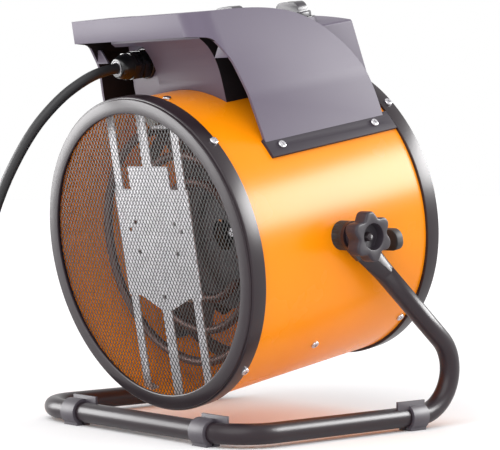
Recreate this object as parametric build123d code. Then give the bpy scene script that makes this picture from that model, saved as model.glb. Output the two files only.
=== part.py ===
from build123d import *
import math
import os

# Forced air heater: an orange drum tilting in a bent tube stand. Millimetres, +Z up.
# The drum is drawn level in its own frame, with the centre of its front face at the origin
# and its axis along +Y, then pitched nose down about the two pivots. Floor at Z = 0.

# ---------------------------------------------------------------- drum and rims
drum_radius = 143.5
drum_wall = 1.2
drum_length = 240.5
rim_proud_front = 4.3
rim_depth_front = 16.2
rim_setback = 2.0
rim_proud_rear = 2.9
rim_depth_rear = 15.6
rim_flange = 1.5
face_ring_radius = drum_radius + 2.5
face_ring_width = 13.3
face_aperture_radius = face_ring_radius - face_ring_width
rim_seat_width = 2.8
rim_stop_width = 3.0
rim_edge_round = 1.3
face_ring_round = 0.7
seat_gap = 0.05
grille_thickness = 1.2
grille_overlap = 4.3
grille_gap = 0.3
mesh_pitch_x = 15.0
mesh_pitch_z = 26.0
mesh_strand = 2.6
mesh_margin = 4.0

# ---------------------------------------------------------------- stand and pivot
pitch = 10.0
pivot_depth = drum_length / 2 - 3.15
pivot_height = drum_radius + 40.2
stand_front_offset = -130.0
origin_shift = -2.12
tube_radius = 9.5
tube_wall = 1.5
tube_lift = 3.0
stand_corner_radius = 42.0
stand_rear_radius = 40.2
stand_rise_angle = 40.5
pivot_bush_length = 11.25
ear_thickness = 4.4
ear_plane = drum_radius + seat_gap + pivot_bush_length + ear_thickness / 2
ear_lean = 0.6
stand_half_width = ear_plane - 6.0
ear_width = 27.0
ear_taper = 34.0
ear_straight = 20.0
ear_overlap = 4.0
pivot_bolt_radius = 4.0
pivot_clearance = 0.08
bolt_head_radius = 9.0
bolt_head_thickness = 4.0
bush_radius = 13.5
bush_edge_round = 1.0
clip_length = 20.0
clip_tab_length = 15.0
clip_tab_thickness = 2.4
clip_tab_offset = 3.2
clip_tab_rise = 3.0
clip_slot = 2.4
clip_sole = 0.62
clip_front_x = {-1: stand_half_width - 65.6, 1: stand_half_width - 44.6}
clip_rear_offset = 84.0

# ---------------------------------------------------------------- star knobs and tilt stops
star_tip_radius = 23.0
star_valley_radius = 16.5
star_thickness = 15.0
star_hub_radius = 11.0
star_hub_length = 10.2
star_recess_radius = 12.0
star_recess_depth = 9.0
star_lobes = 6
star_flute_radius = 7.5
star_lobe_round = 3.0
star_face_round = 1.6
bolt_end_height = 4.0
star_gap = 0.3
lug_depth = pivot_depth + 51.4
lug_thickness = 8.0
lug_height = 20.0
lug_drop = 14.0
lug_reach = 21.5

# ---------------------------------------------------------------- hood
hood_wall = 3.0
hood_front = 25.0
beam_bottom = drum_radius + 53.0
beam_seat = 54.0
beam_corner_radius = 24.0
beam_corner_foot = drum_radius + 21.5
beam_left_reach = drum_radius - 49.0
skirt_low = drum_radius - 83.5
deck_recess = 1.4
deck_recess_start = 56.0
flange_low_angle = 33.7
flange_high_angle = 41.5
flange_thickness = 3.0
flange_front = 66.5
flange_rear = drum_length - 16.5
flange_edge = (drum_radius + flange_thickness) * math.cos(math.radians(flange_high_angle))
cheek_foot = (flange_edge + 2.9, drum_radius - 55.5)
cheek_knee = (flange_edge - 1.1, drum_radius - 3.5)
cheek_top = (flange_edge - 24.0, drum_radius + 76.5)
cheek_rounds = [40.0, 60.0]
deck_half_width = cheek_top[0] - 7.7
gusset_thickness = 2.0
gusset_depth = 49.5
gusset_inner_x = cheek_top[0] - 6.7
gusset_low = drum_radius + 30.5
gusset_high = drum_radius + 43.5
gusset_top_width = 4.0

# ---------------------------------------------------------------- control box and rear box
dial_depth = drum_length - 60.5
box_right = cheek_top[0] - 25.7
box_left = cheek_top[0] - 13.7
box_wall = 2.5
box_rear_top = drum_radius + 40.5
gland_bay = 32.0
gland_bay_depth = 71.0
gland_bay_head = 8.0
rear_box_half_width = cheek_top[0] - 5.7
rear_box_front = dial_depth - 24.0
deck_end = rear_box_front - 0.5
box_slope_start = rear_box_front - 24.0
rear_box_shoulder = drum_radius + 42.0
rear_box_crown = 7.0
rear_box_roof = 0.5
rear_box_round = 2.5
rear_box_lean = 13.2
rear_box_flare = 4.0
rear_box_back = dial_depth + 42.8
rear_box_foot = drum_radius - 18.5
hood_fit_gap = 0.3

# ---------------------------------------------------------------- rotary controls
dial_spacing = 2 * (rear_box_half_width - 35.0)
dial_pad_radius = 22.5
dial_pad_top = rear_box_shoulder + 7.9
dial_plate_radius = 21.0
dial_plate_thickness = 0.8
knob_radius = 18.0
knob_skirt = 5.0
knob_height = 15.0
knob_grip = 12.0
knob_grip_inset = 2.0
knob_socket = 8.1
knob_line = 1.4
knob_gap = 0.4
spindle_radius = 3.0
spindle_length = 21.0
spindle_clearance = 0.05
spindle_way = 0.6
switch_width = 34.0
switch_height = 24.0
thermostat_radius = 17.0
thermostat_height = 16.0
bezel_radius = 26.0
bezel_width = 3.0
bezel_height = 1.3
bezel_x = 34.0 - box_left
bezel_y = 86.0
bezel_z = drum_radius + 69.1
bezel_fall = (2.5, 35.0)
terminal_size = (52.0, 22.0, 14.0)
terminal_place = (10.0, 105.0)
terminal_ways = 5
terminal_pitch = 10.0
terminal_bore = 2.2
terminal_bore_depth = 8.0

# ---------------------------------------------------------------- gland and cord
cord_radius = 5.0
gland_x = 24.0 - box_left
gland_z = drum_radius + 27.0
gland_thread_radius = 10.0
gland_flats = 26.0
gland_hex_length = 9.0
gland_flange_radius = 15.0
gland_flange_thickness = 3.0
gland_cap_length = 24.0
gland_cap_mouth = 9.2
gland_nut_thickness = 5.0
gland_thread_length = 12.0
gland_cap_hex = 12.0
gland_seal_wall = 2.1
cord_fit = 0.1
cable_hole_depth = 110.0
cable_hole_radius = 14.0

# ---------------------------------------------------------------- fan, motor, elements
fan_radius = drum_radius - 21.5
fan_hub_radius = 30.0
fan_hub_length = 26.0
fan_blades = 5
fan_blade_thickness = 1.6
fan_blade_chord = 74.0
fan_blade_angle = 26.0
shaft_radius = 4.0
shaft_clearance = 0.05
fan_hub_round = 4.0
fan_nut_radius = 7.5
fan_nut_length = 6.0
shaft_front = 12.0
shaft_rear = 3.0
motor_radius = 34.0
motor_bore = 19.0
motor_length = 44.0
motor_cap_thickness = 5.0
motor_stud_length = 1.0
rotor_gap = 0.6
rotor_setback = 4.0
motor_stud = 5.0
motor_stud_place = 0.72 * motor_radius
bush_length = 8.0
bush_wall = 3.0
motor_bracket_depth = 0.8732 * drum_length
motor_front = motor_bracket_depth - motor_stud_length - motor_cap_thickness - motor_length
fan_depth = motor_front - 28.0
bracket_thickness = 1.5
bracket_foot = 14.0
bracket_arm = 22.0
carrier_depth = 0.4033 * drum_length
carrier_radius = 64.0
element_radius = 4.25
element_joint = 0.25
element_rings = (drum_radius - 31.5, drum_radius - 59.5, drum_radius - 87.5)
element_depths = (0.1913 * drum_length, 0.2412 * drum_length, 0.2911 * drum_length)
element_gap_angle = 34.0
insulator_radius = 7.0
insulator_length = 12.0
carrier_window = 8.0
carrier_window_half = 22.0
baffle_depth = 17.4
baffle_thickness = 1.2
baffle_foot = 8.0
baffle_side_strap = (41.0, 51.5)
baffle_mid_strap = 6.5
baffle_plate_width = 54.0
baffle_plate_top = 59.0
baffle_plate_bottom = -43.0
baffle_tab_width = 29.5
baffle_tab_top = 80.5
baffle_point = -56.0
baffle_point_half = 38.0
baffle_hole_radius = 2.2
baffle_holes = ((29.0, 27.0), (38.0, 20.0), (28.0, -1.0))
strap_end_gap = 0.2
cutout_radius = 8.5
cutout_thickness = 9.0
cutout_drop = 30.0
cutout_tab_half = 12.0
cutout_ring = (3.8, 9.0)

# ---------------------------------------------------------------- screws
screw_head_radius = 4.0
screw_head_height = 2.4
screw_radius = 2.0
screw_hole_gap = 0.1
screw_length = 6.0
rim_screw_length = 8.0
flange_screw_length = 7.0
cross_length = 4.4
cross_width = 0.9
cross_depth = 1.6
rim_screw_angles = (45, 135, 225, 315)
front_screw_depth = 14.2
rear_screw_depth = drum_length - 6.5
flange_screw_angle = 37.6
flange_screw_depths = (flange_front + 16.5, flange_rear - 23.5)
lower_screw_angles = (-45, 225)
bracket_screw_angles = (45, 135, 225, 315)
top_screw_angle = 79.4
top_screw_depth = 31.0

# ---------------------------------------------------------------- derived places
drum_inner = drum_radius - drum_wall
front_rim_outer = drum_radius + rim_proud_front
rear_rim_outer = drum_radius + rim_proud_rear
face_ring_thickness = rim_setback
grille_radius = face_aperture_radius + grille_overlap
front_stop_depth = rim_setback + grille_thickness
shell_front = front_stop_depth + grille_thickness + seat_gap
rear_grille_back = drum_length - rim_flange
shell_rear = rear_grille_back - grille_thickness
star_inner_x = ear_plane + ear_thickness / 2 + star_gap
star_outer_x = star_inner_x + star_hub_length + star_thickness
tube_centre_z = tube_radius + tube_lift
stand_front_y = origin_shift + stand_front_offset
gland_wall_front = gland_bay_depth
cap_mouth_depth = gland_wall_front - gland_flange_thickness - gland_hex_length - gland_cap_length
reach = 2 * drum_radius
left_right = ((-1, "left"), (1, "right"))


def drumPlace():
    """Drum frame to the heater's own frame."""
    return Pos(0, origin_shift, pivot_height) * Rot(pitch, 0, 0) * Pos(0, -pivot_depth, 0)


def rod(radius, y0, y1, x=0.0, z=0.0):
    return Pos(x, (y0 + y1) / 2, z) * Rot(90, 0, 0) * Cylinder(radius, y1 - y0)


def pipe(outer, inner, y0, y1, x=0.0, z=0.0):
    return rod(outer, y0, y1, x, z) - rod(inner, y0 - 1, y1 + 1, x, z)


def block(x0, x1, y0, y1, z0, z1):
    return Pos((x0 + x1) / 2, (y0 + y1) / 2, (z0 + z1) / 2) * Box(x1 - x0, y1 - y0, z1 - z0)


def sidePlate(points, half_width):
    """A plate drawn in side view, (Y, Z) points, spanning -half_width to half_width in X."""
    face = make_face(Polyline(*[(0, y, z) for y, z in points], close=True))
    return extrude(face, amount=half_width, dir=(1, 0, 0), both=True)


def frontPlate(points, y0, y1):
    """A plate drawn in front view, (X, Z) points, from depth y0 to depth y1."""
    face = make_face(Polyline(*[(x, y0, z) for x, z in points], close=True))
    return extrude(face, amount=y1 - y0, dir=(0, 1, 0))


def around(angle, radius, depth, shape):
    """Turns a shape whose own +Z points outward onto the drum at an angle from +X."""
    outward = (math.cos(math.radians(angle)), 0, math.sin(math.radians(angle)))
    base = (radius * outward[0], depth, radius * outward[2])
    return Plane(origin=base, x_dir=(0, 1, 0), z_dir=outward) * shape


def screw(angle, radius, depth, length=screw_length):
    head = Pos(0, 0, screw_head_height / 2) * Cylinder(screw_head_radius, screw_head_height)
    head = fillet(head.edges().group_by(Axis.Z)[-1], screw_head_height * 0.6)
    cross = Box(cross_length, cross_width, cross_depth) + Box(cross_width, cross_length, cross_depth)
    shank = Pos(0, 0, -length / 2) * Cylinder(screw_radius, length)
    return around(angle, radius, depth, head + shank - Pos(0, 0, screw_head_height) * cross)


def screwHole(angle, depth):
    drill = Cylinder(screw_radius + screw_hole_gap, 4 * rim_screw_length)
    return around(angle, drum_radius, depth, drill)


def foot(angle, depth, length, width, outer):
    """A bent foot lying against the inside of the drum."""
    ring = pipe(outer, outer - bracket_thickness, depth, depth + length)
    return ring & around(angle, outer, depth + length / 2, Box(2 * length, width, 2 * width))


def polar(angle, radius):
    return (radius * math.cos(math.radians(angle)), radius * math.sin(math.radians(angle)))


# ---------------------------------------------------------------- drum shell and rims
def ringOf(profile):
    face = make_face(Polyline(*profile, close=True))
    return revolve(face, axis=Axis.Y)


def outerCircles(rim, outer):
    return rim.edges().filter_by(lambda e: e.geom_type == GeomType.CIRCLE and e.radius == outer)


def frontRim():
    outer, inner = front_rim_outer, drum_radius + seat_gap
    stop = grille_radius + grille_gap - rim_seat_width
    seat = grille_radius + grille_gap
    rim = ringOf([(stop, front_stop_depth), (seat, front_stop_depth), (seat, rim_setback),
                  (outer, rim_setback), (outer, rim_setback + rim_depth_front),
                  (inner, rim_setback + rim_depth_front), (inner, shell_front - seat_gap),
                  (stop, shell_front - seat_gap)])
    return fillet(outerCircles(rim, outer), rim_edge_round)


def rearRim():
    outer, inner = rear_rim_outer, drum_radius + seat_gap
    opening = grille_radius - rim_stop_width
    rim = ringOf([(inner, drum_length - rim_depth_rear), (outer, drum_length - rim_depth_rear),
                  (outer, drum_length), (opening, drum_length),
                  (opening, rear_grille_back), (inner, rear_grille_back)])
    return fillet(outerCircles(rim, outer), rim_edge_round)


def faceRing():
    ring = pipe(face_ring_radius, face_aperture_radius, 0, face_ring_thickness)
    front = ring.edges().group_by(Axis.Y)[0]
    return fillet(front, face_ring_round)


def grille(radius, y0, aperture):
    """Expanded metal drawn coarse: a disc with rows of upright diamonds."""
    holes = []
    a, b = mesh_pitch_x / 2 - mesh_strand / 2, mesh_pitch_z / 2 - mesh_strand
    rows = int(aperture / (mesh_pitch_z / 2)) + 1
    columns = int(aperture / mesh_pitch_x) + 1
    for row in range(-rows, rows + 1):
        shift = mesh_pitch_x / 2 if row % 2 else 0
        for column in range(-columns, columns + 1):
            x, z = column * mesh_pitch_x + shift, row * mesh_pitch_z / 2
            diamond = [(x - a, y0, z), (x, y0, z + b), (x + a, y0, z), (x, y0, z - b)]
            if max(math.hypot(abs(x) + a, z), math.hypot(x, abs(z) + b)) < aperture - mesh_margin:
                holes.append(Wire.make_polygon(diamond))
    disc = Wire(Edge.make_circle(radius, Plane(origin=(0, y0, 0), x_dir=(1, 0, 0), z_dir=(0, 1, 0))))
    return extrude(Face(disc, holes), amount=grille_thickness, dir=(0, 1, 0))


drum_shell = pipe(drum_radius, drum_inner, shell_front, shell_rear)
for angle in rim_screw_angles:
    drum_shell -= screwHole(angle, front_screw_depth) + screwHole(angle, rear_screw_depth)
for angle in bracket_screw_angles:
    drum_shell -= screwHole(angle, motor_bracket_depth + bracket_foot / 2)
for angle in lower_screw_angles:
    drum_shell -= screwHole(angle, carrier_depth + bracket_foot / 2)
for side, _ in left_right:
    for depth in flange_screw_depths:
        drum_shell -= screwHole(90 - side * (90 - flange_screw_angle), depth)
    drum_shell -= screwHole(90 - side * (90 - top_screw_angle), top_screw_depth)
    hole = Cylinder(pivot_bolt_radius + pivot_clearance, 2 * pivot_bush_length, rotation=(0, 90, 0))
    drum_shell -= Pos(side * drum_radius, pivot_depth, 0) * hole
drum_shell -= Pos(0, cable_hole_depth, drum_radius) * Cylinder(cable_hole_radius, cable_hole_radius)

front_rim = frontRim()
rear_rim = rearRim()
for angle in rim_screw_angles:
    front_rim -= screwHole(angle, front_screw_depth)
    rear_rim -= screwHole(angle, rear_screw_depth)
front_ring = faceRing()
front_grille = grille(grille_radius, rim_setback, face_aperture_radius)
rear_grille = grille(drum_radius, shell_rear, grille_radius - rim_stop_width)


# ---------------------------------------------------------------- front baffle plate
def frontBaffle():
    y0, y1 = baffle_depth, baffle_depth + baffle_thickness
    inner, outer = baffle_side_strap
    half = baffle_plate_width
    plate = block(-half, half, y0, y1, baffle_plate_bottom, baffle_plate_top)
    plate += block(-baffle_tab_width, baffle_tab_width, y0, y1, baffle_plate_top - 1, baffle_tab_top)
    top, half = baffle_plate_bottom + 1, baffle_point_half
    plate += frontPlate([(-half, top), (half, top), (baffle_mid_strap, baffle_point),
                         (-baffle_mid_strap, baffle_point)], y0, y1)
    straps = [(-outer, -inner), (-baffle_mid_strap, baffle_mid_strap), (inner, outer)]
    ring = pipe(drum_inner - seat_gap, drum_inner - seat_gap - baffle_thickness, y0, y1 + baffle_foot)
    for x0, x1 in straps:
        plate += block(x0, x1, y0, y1, -drum_inner, drum_inner) & rod(drum_inner - seat_gap, y0, y1)
        plate += ring & block(x0, x1, y0, y1 + baffle_foot, -drum_inner, drum_inner)
    for x, z in baffle_holes:
        for side in (-1, 1):
            plate -= rod(baffle_hole_radius, y0 - 1, y1 + 1, side * x, z)
    return plate - rod(baffle_hole_radius, y0 - 1, y1 + 1, 0, baffle_plate_bottom)


front_baffle = frontBaffle()


# ---------------------------------------------------------------- carriers, elements, motor
def spider(depth, hub, arm_angles):
    """A pressed disc with arms that end in feet screwed to the drum."""
    plate = rod(hub, depth, depth + bracket_thickness)
    length = drum_inner - seat_gap - strap_end_gap
    bound = rod(length, depth, depth + bracket_thickness)
    for angle in arm_angles:
        arm = Pos(0, depth + bracket_thickness / 2, 0) * Rot(0, -angle, 0)
        arm *= Pos(length / 2, 0, 0) * Box(length, bracket_thickness, bracket_arm)
        plate += arm & bound
        plate += foot(angle, depth, bracket_foot, bracket_arm, drum_inner - seat_gap)
        plate -= screwHole(angle, depth + bracket_foot / 2)
    return plate


def element(ring_radius, depth, leg_angle):
    """A tubular heating ring, open at the side, with two legs running back to the carrier."""
    start = leg_angle - element_gap_angle / 2
    section = Plane(origin=(ring_radius, depth, 0), x_dir=(1, 0, 0), z_dir=(0, 0, 1)) * Circle(element_radius)
    ring = revolve(section, axis=Axis.Y, revolution_arc=360 - element_gap_angle)
    solid = Rot(0, -start, 0) * ring
    for angle in elementLegAngles(leg_angle):
        x, z = polar(angle, ring_radius)
        solid += Pos(x, depth, z) * Sphere(element_radius + element_joint)
        solid += rod(element_radius, depth, elementEnd(), x, z)
    return solid


def elementLegAngles(leg_angle):
    return (leg_angle - element_gap_angle / 2, leg_angle + element_gap_angle / 2)


def elementEnd():
    return carrier_depth + insulator_length


element_carrier = spider(carrier_depth, carrier_radius, (-45, 225, 90))
carrier_front, carrier_back = carrier_depth - 1, carrier_depth + bracket_thickness + 1
element_carrier += pipe(element_rings[0] + 2 * insulator_radius, element_rings[2] - insulator_radius,
                        carrier_depth, carrier_depth + bracket_thickness)
for window in (30, 150, 270):
    sector = pipe(element_rings[0], carrier_radius + carrier_window, carrier_front, carrier_back)
    wedge = [(0, 0), polar(window - carrier_window_half, reach), polar(window + carrier_window_half, reach)]
    element_carrier -= sector & frontPlate(wedge, carrier_front, carrier_back)
element_carrier -= rod(fan_hub_radius / 2, carrier_front, carrier_back)
elements, insulators = [], []
for ring_radius, depth, leg_angle in zip(element_rings, element_depths, (90, 210, 330)):
    elements.append(element(ring_radius, depth, leg_angle))
    for angle in elementLegAngles(leg_angle):
        x, z = polar(angle, ring_radius)
        element_carrier -= rod(insulator_radius, carrier_front, carrier_back, x, z)
        insulator_y0 = carrier_depth - insulator_length / 2
        insulators.append(pipe(insulator_radius - seat_gap, element_radius + seat_gap,
                               insulator_y0, insulator_y0 + insulator_length, x, z))
element_insulators = Compound(children=insulators)

motor_back = motor_front + motor_length
shaft_bore = shaft_radius + shaft_clearance
motor_bracket = spider(motor_bracket_depth, motor_radius, bracket_screw_angles)
motor_bracket -= rod(motor_radius * 0.45, motor_bracket_depth - 1, motor_bracket_depth + bracket_thickness + 1)
motor_stator = pipe(motor_radius, motor_bore, motor_front, motor_back)
bush_outer = shaft_bore + bush_wall
motor_caps = []
for y0 in (motor_front - motor_cap_thickness, motor_back):
    motor_caps.append(pipe(motor_radius, bush_outer + seat_gap, y0, y0 + motor_cap_thickness))
for x in (motor_stud_place, -motor_stud_place):
    motor_caps[1] += rod(motor_stud, motor_back + motor_cap_thickness, motor_bracket_depth, x)
motor_bushes = Compound(children=[pipe(bush_outer, shaft_bore, motor_front - bush_length, motor_front),
                                  pipe(bush_outer, shaft_bore, motor_back, motor_back + motor_cap_thickness)])
shaft_y0 = fan_depth - fan_hub_length / 2 - shaft_front
fan_shaft = rod(shaft_radius, shaft_y0, motor_back + motor_cap_thickness + shaft_rear)
fan_shaft += rod(motor_bore - rotor_gap, motor_front + rotor_setback, motor_back - rotor_setback)


def impeller():
    front = fan_depth - fan_hub_length / 2
    hub = rod(fan_hub_radius, front, front + fan_hub_length)
    hub = fillet(hub.edges().group_by(Axis.Y)[0], fan_hub_round)
    bound = pipe(fan_radius, fan_hub_radius - 1, front - fan_hub_length, front + 2 * fan_hub_length)
    span = fan_radius - fan_hub_radius + 6
    for i in range(fan_blades):
        blade = Box(span + 10, fan_blade_thickness, fan_blade_chord)
        blade = fillet(blade.edges().filter_by(Axis.Y).group_by(Axis.X)[-1], fan_blade_chord * 0.3)
        blade = Pos(fan_hub_radius - 4 + span / 2, 0, 0) * Rot(-fan_blade_angle, 0, 0) * blade
        hub += (Pos(0, fan_depth, 0) * Rot(0, i * 360 / fan_blades, 0) * blade) & bound
    return hub - rod(shaft_radius, front - 1, front + fan_hub_length + 1)


fan_impeller = impeller()
nut_front = fan_depth - fan_hub_length / 2
fan_nut = extrude(RegularPolygon(fan_nut_radius, 6), amount=fan_nut_length)
fan_nut = Pos(0, nut_front, 0) * Rot(90, 0, 0) * fan_nut
fan_nut -= rod(shaft_radius, nut_front - fan_nut_length - 1, nut_front + 1)

cutout_front, cutout_back = top_screw_depth - cutout_ring[0], top_screw_depth + cutout_ring[1]
bracket_ring = pipe(drum_inner - seat_gap, drum_inner - seat_gap - bracket_thickness, cutout_front, cutout_back)
half_span = 90 - top_screw_angle + 4
wedge = [(0, 0), polar(90 - half_span, reach), polar(90 + half_span, reach)]
cutout_bracket = bracket_ring & frontPlate(wedge, cutout_front - 1, cutout_back + 1)
cutout_y = cutout_back - bracket_thickness
tab_z = drum_inner - cutout_drop
cutout_bracket += block(-cutout_tab_half, cutout_tab_half, cutout_y, cutout_back, tab_z,
                        drum_inner - seat_gap - bracket_thickness / 2)
for side in (-1, 1):
    cutout_bracket -= screwHole(90 - side * (90 - top_screw_angle), top_screw_depth)
thermal_cutout = rod(cutout_radius, cutout_y - cutout_thickness, cutout_y, 0, tab_z + cutout_tab_half)


# ---------------------------------------------------------------- hood
# side views of the arch and of the cheek's front edge: depth, height above the drum's crown
arch_above = [(hood_front, 74.4), (57.0, 72.8), (92.0, 70.3), (dial_depth - 53.5, 64.1),
              (dial_depth - 31.0, 56.0), (dial_depth - 3.0, 36.5), (dial_depth + 14.0, 17.1),
              (dial_depth + 28.0, -10.5), (dial_depth + 37.5, -53.5)]
edge_above = [(hood_front, 53.0), (39.5, 49.8), (53.0, 26.5), (69.3, -55.5)]
arch = [(y, drum_radius + z) for y, z in arch_above]
front_edge = [(y, drum_radius + z) for y, z in edge_above]
front_edge_rounds = [12.0, 40.0]


def archPoints(inset):
    """The arch moved in square to itself by a wall thickness."""
    moved = []
    for i, (y, z) in enumerate(arch):
        before, after = arch[max(i - 1, 0)], arch[min(i + 1, len(arch) - 1)]
        dy, dz = after[0] - before[0], after[1] - before[1]
        run = math.hypot(dy, dz)
        moved.append((y + dz / run * inset, z - dy / run * inset))
    return moved


def sideOutline(inset, front, low):
    """Side view of the hood: arch above and behind, cheek edge in front, open below."""
    points = archPoints(inset)
    if front is None:
        points[0] = (hood_front + inset, points[0][1])
        lead = Polyline((0, 0.0, low), (0, 0.0, beam_bottom), (0, beam_seat, beam_bottom),
                        (0, beam_seat, beam_bottom + hood_wall),
                        (0, hood_front + inset, beam_bottom + hood_wall), (0, *points[0]))
    else:
        lead = FilletPolyline((0, front[-1][0], low), (0, front[-1][0], front[-1][1]),
                              *[(0, y, z) for y, z in front[-2::-1]],
                              radius=[1.0] + front_edge_rounds[::-1])
        lead = Wire([*lead.edges(), Edge.make_line(lead @ 1, (0, points[0][0], points[0][1]))])
    over = Spline(*[(0, y, z) for y, z in points])
    close = Polyline(over @ 1, (0, points[-1][0], low), lead @ 0)
    return make_face(Wire([*lead.edges(), *over.edges(), *close.edges()]))


def cheekOutline(inset):
    points = [(cheek_foot[0] - inset, skirt_low), (cheek_foot[0] - inset, cheek_foot[1]),
              (cheek_knee[0] - inset, cheek_knee[1]), (cheek_top[0] - inset, cheek_top[1])]
    right = FilletPolyline(*[(x, 0, z) for x, z in points], radius=cheek_rounds)
    left = right.mirror(Plane.YZ)
    top = Edge.make_line(right @ 1, left @ 1)
    low = Edge.make_line(right @ 0, left @ 0)
    return make_face(Wire([*right.edges(), top, *left.edges(), low]))


def beamCorner(inset):
    """Wedge that rounds the beam's right upright corner, slanted like the cheek."""
    r = beam_corner_radius - inset
    x0 = cheek_top[0] - inset
    y0 = hood_front + inset
    top = cheek_top[1]
    slant = (cheek_knee[0] - cheek_top[0]) / (cheek_top[1] - cheek_knee[1])
    drop = top - beam_corner_foot
    half_way = r * math.sqrt(0.5)
    bend = ThreePointArc((x0 - r, y0, top), (x0 - r + half_way, y0 + r - half_way, top), (x0, y0 + r, top))
    out = beam_corner_radius
    rest = Polyline(bend @ 1, (x0 + out, y0 + r, top), (x0 + out, y0 - out, top), (x0 - r, y0 - out, top),
                    bend @ 0)
    face = make_face(Wire([*bend.edges(), *rest.edges()])).face()
    return Solid.extrude(face, Vector(slant * drop, 0, -drop))


def beamEnd(side, inset):
    """The beam's left end, which reaches past the cheek and runs out where the arch falls below its underside."""
    return side & block(-beam_left_reach + inset, -deck_half_width, hood_front + inset, reach,
                        beam_bottom + inset, reach)


def hoodBody(inset, front):
    side = extrude(sideOutline(inset, front, skirt_low), amount=drum_radius, dir=(1, 0, 0), both=True)
    body = side & extrude(cheekOutline(inset), amount=reach, dir=(0, 1, 0))
    return body - beamCorner(inset) + beamEnd(side, inset)


def flange(side):
    ring = pipe(drum_radius + flange_thickness, drum_radius + seat_gap, flange_front, flange_rear)
    wedge = [(0, 0), polar(flange_low_angle, reach), polar(flange_high_angle, reach)]
    sector = ring & frontPlate(wedge, flange_front - 5, flange_rear + 5)
    return sector if side > 0 else sector.mirror(Plane.YZ)


hood = hoodBody(0.0, front_edge) - hoodBody(hood_wall, None)
under_recess = extrude(sideOutline(deck_recess, None, skirt_low), amount=drum_radius, dir=(1, 0, 0), both=True)
deck_low = drum_radius + deck_half_width / 2
deck_cut = block(-deck_half_width, deck_half_width, deck_recess_start, deck_end, deck_low, reach)
hood -= deck_cut - under_recess
hood -= rod(drum_radius + seat_gap, 0, reach)
hood += flange(1) + flange(-1)
rear_cut = rear_box_half_width + hood_fit_gap
hood -= block(-rear_cut, rear_cut, deck_end, reach, 0, reach)
for side, _ in left_right:
    for depth in flange_screw_depths:
        hood -= screwHole(90 - side * (90 - flange_screw_angle), depth)


def gusset(side):
    """Upright web in the corner between the cheek and the underside of the beam."""
    slant = (cheek_knee[0] - cheek_top[0]) / (cheek_top[1] - cheek_knee[1])
    low_x = cheek_top[0] + slant * (cheek_top[1] - gusset_low) - hood_wall + 1
    high_x = cheek_top[0] + slant * (cheek_top[1] - gusset_high) - hood_wall + 1
    web = frontPlate([(gusset_inner_x, gusset_low), (low_x, gusset_low), (high_x, gusset_high),
                      (high_x - gusset_top_width - 1, gusset_high)],
                     gusset_depth, gusset_depth + gusset_thickness)
    return web if side > 0 else web.mirror(Plane.YZ)


hood += gusset(1) + gusset(-1)


# ---------------------------------------------------------------- control box under the hood
# side view of the concave front: depth, height above the drum's crown
box_front_above = [(51.0, 48.5), (62.0, 36.1), (67.5, 23.1), (70.5, 7.5), (74.5, -23.5)]
box_front = [(y, drum_radius + z) for y, z in box_front_above]


def boxSide(inset, top):
    nose = Spline(*[(0, y + inset, z) for y, z in box_front])
    rest = Polyline(nose @ 1, (0, rear_box_front, box_front[-1][1]),
                    (0, rear_box_front, box_rear_top - inset), (0, box_slope_start, top),
                    (0, box_front[0][0] + inset, top), nose @ 0)
    return make_face(Wire([*nose.edges(), *rest.edges()]))


box_top = beam_bottom - seat_gap
control_box = extrude(boxSide(0.0, box_top), amount=drum_radius, dir=(1, 0, 0), both=True)
control_box &= block(-box_left, box_right, 0, reach, skirt_low, reach)
hollow = extrude(boxSide(box_wall, box_top - box_wall), amount=drum_radius, dir=(1, 0, 0), both=True)
hollow &= block(-box_left + box_wall, box_right - box_wall, 0, reach, skirt_low, reach)
bay_right = gland_x + gland_bay / 2
bay_top = box_top - gland_bay_head
bay = block(-box_left - 1, bay_right, 0, gland_bay_depth, skirt_low, bay_top)
bay_wall = block(-box_left, bay_right + box_wall, 0, gland_bay_depth + box_wall, skirt_low, bay_top + box_wall)
control_box = control_box - (hollow - bay_wall) - bay
control_box -= rod(drum_radius + seat_gap, 0, reach)
control_box -= block(-drum_radius, drum_radius, rear_box_front - seat_gap, reach, 0, reach)
control_box -= rod(gland_thread_radius + seat_gap, gland_bay_depth - 1, gland_bay_depth + gland_thread_length,
                   gland_x, gland_z)


def rearBoxSide(inset):
    """Side view of the box behind the deck: a leaning back that flares out near the drum."""
    back = rear_box_back - inset
    return [(cable_hole_depth, skirt_low), (back + rear_box_lean + rear_box_flare, skirt_low),
            (back + rear_box_lean, rear_box_foot), (back, rear_box_shoulder),
            (back - 2, rear_box_shoulder + dial_pad_radius),
            (cable_hole_depth, rear_box_shoulder + dial_pad_radius)]


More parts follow.
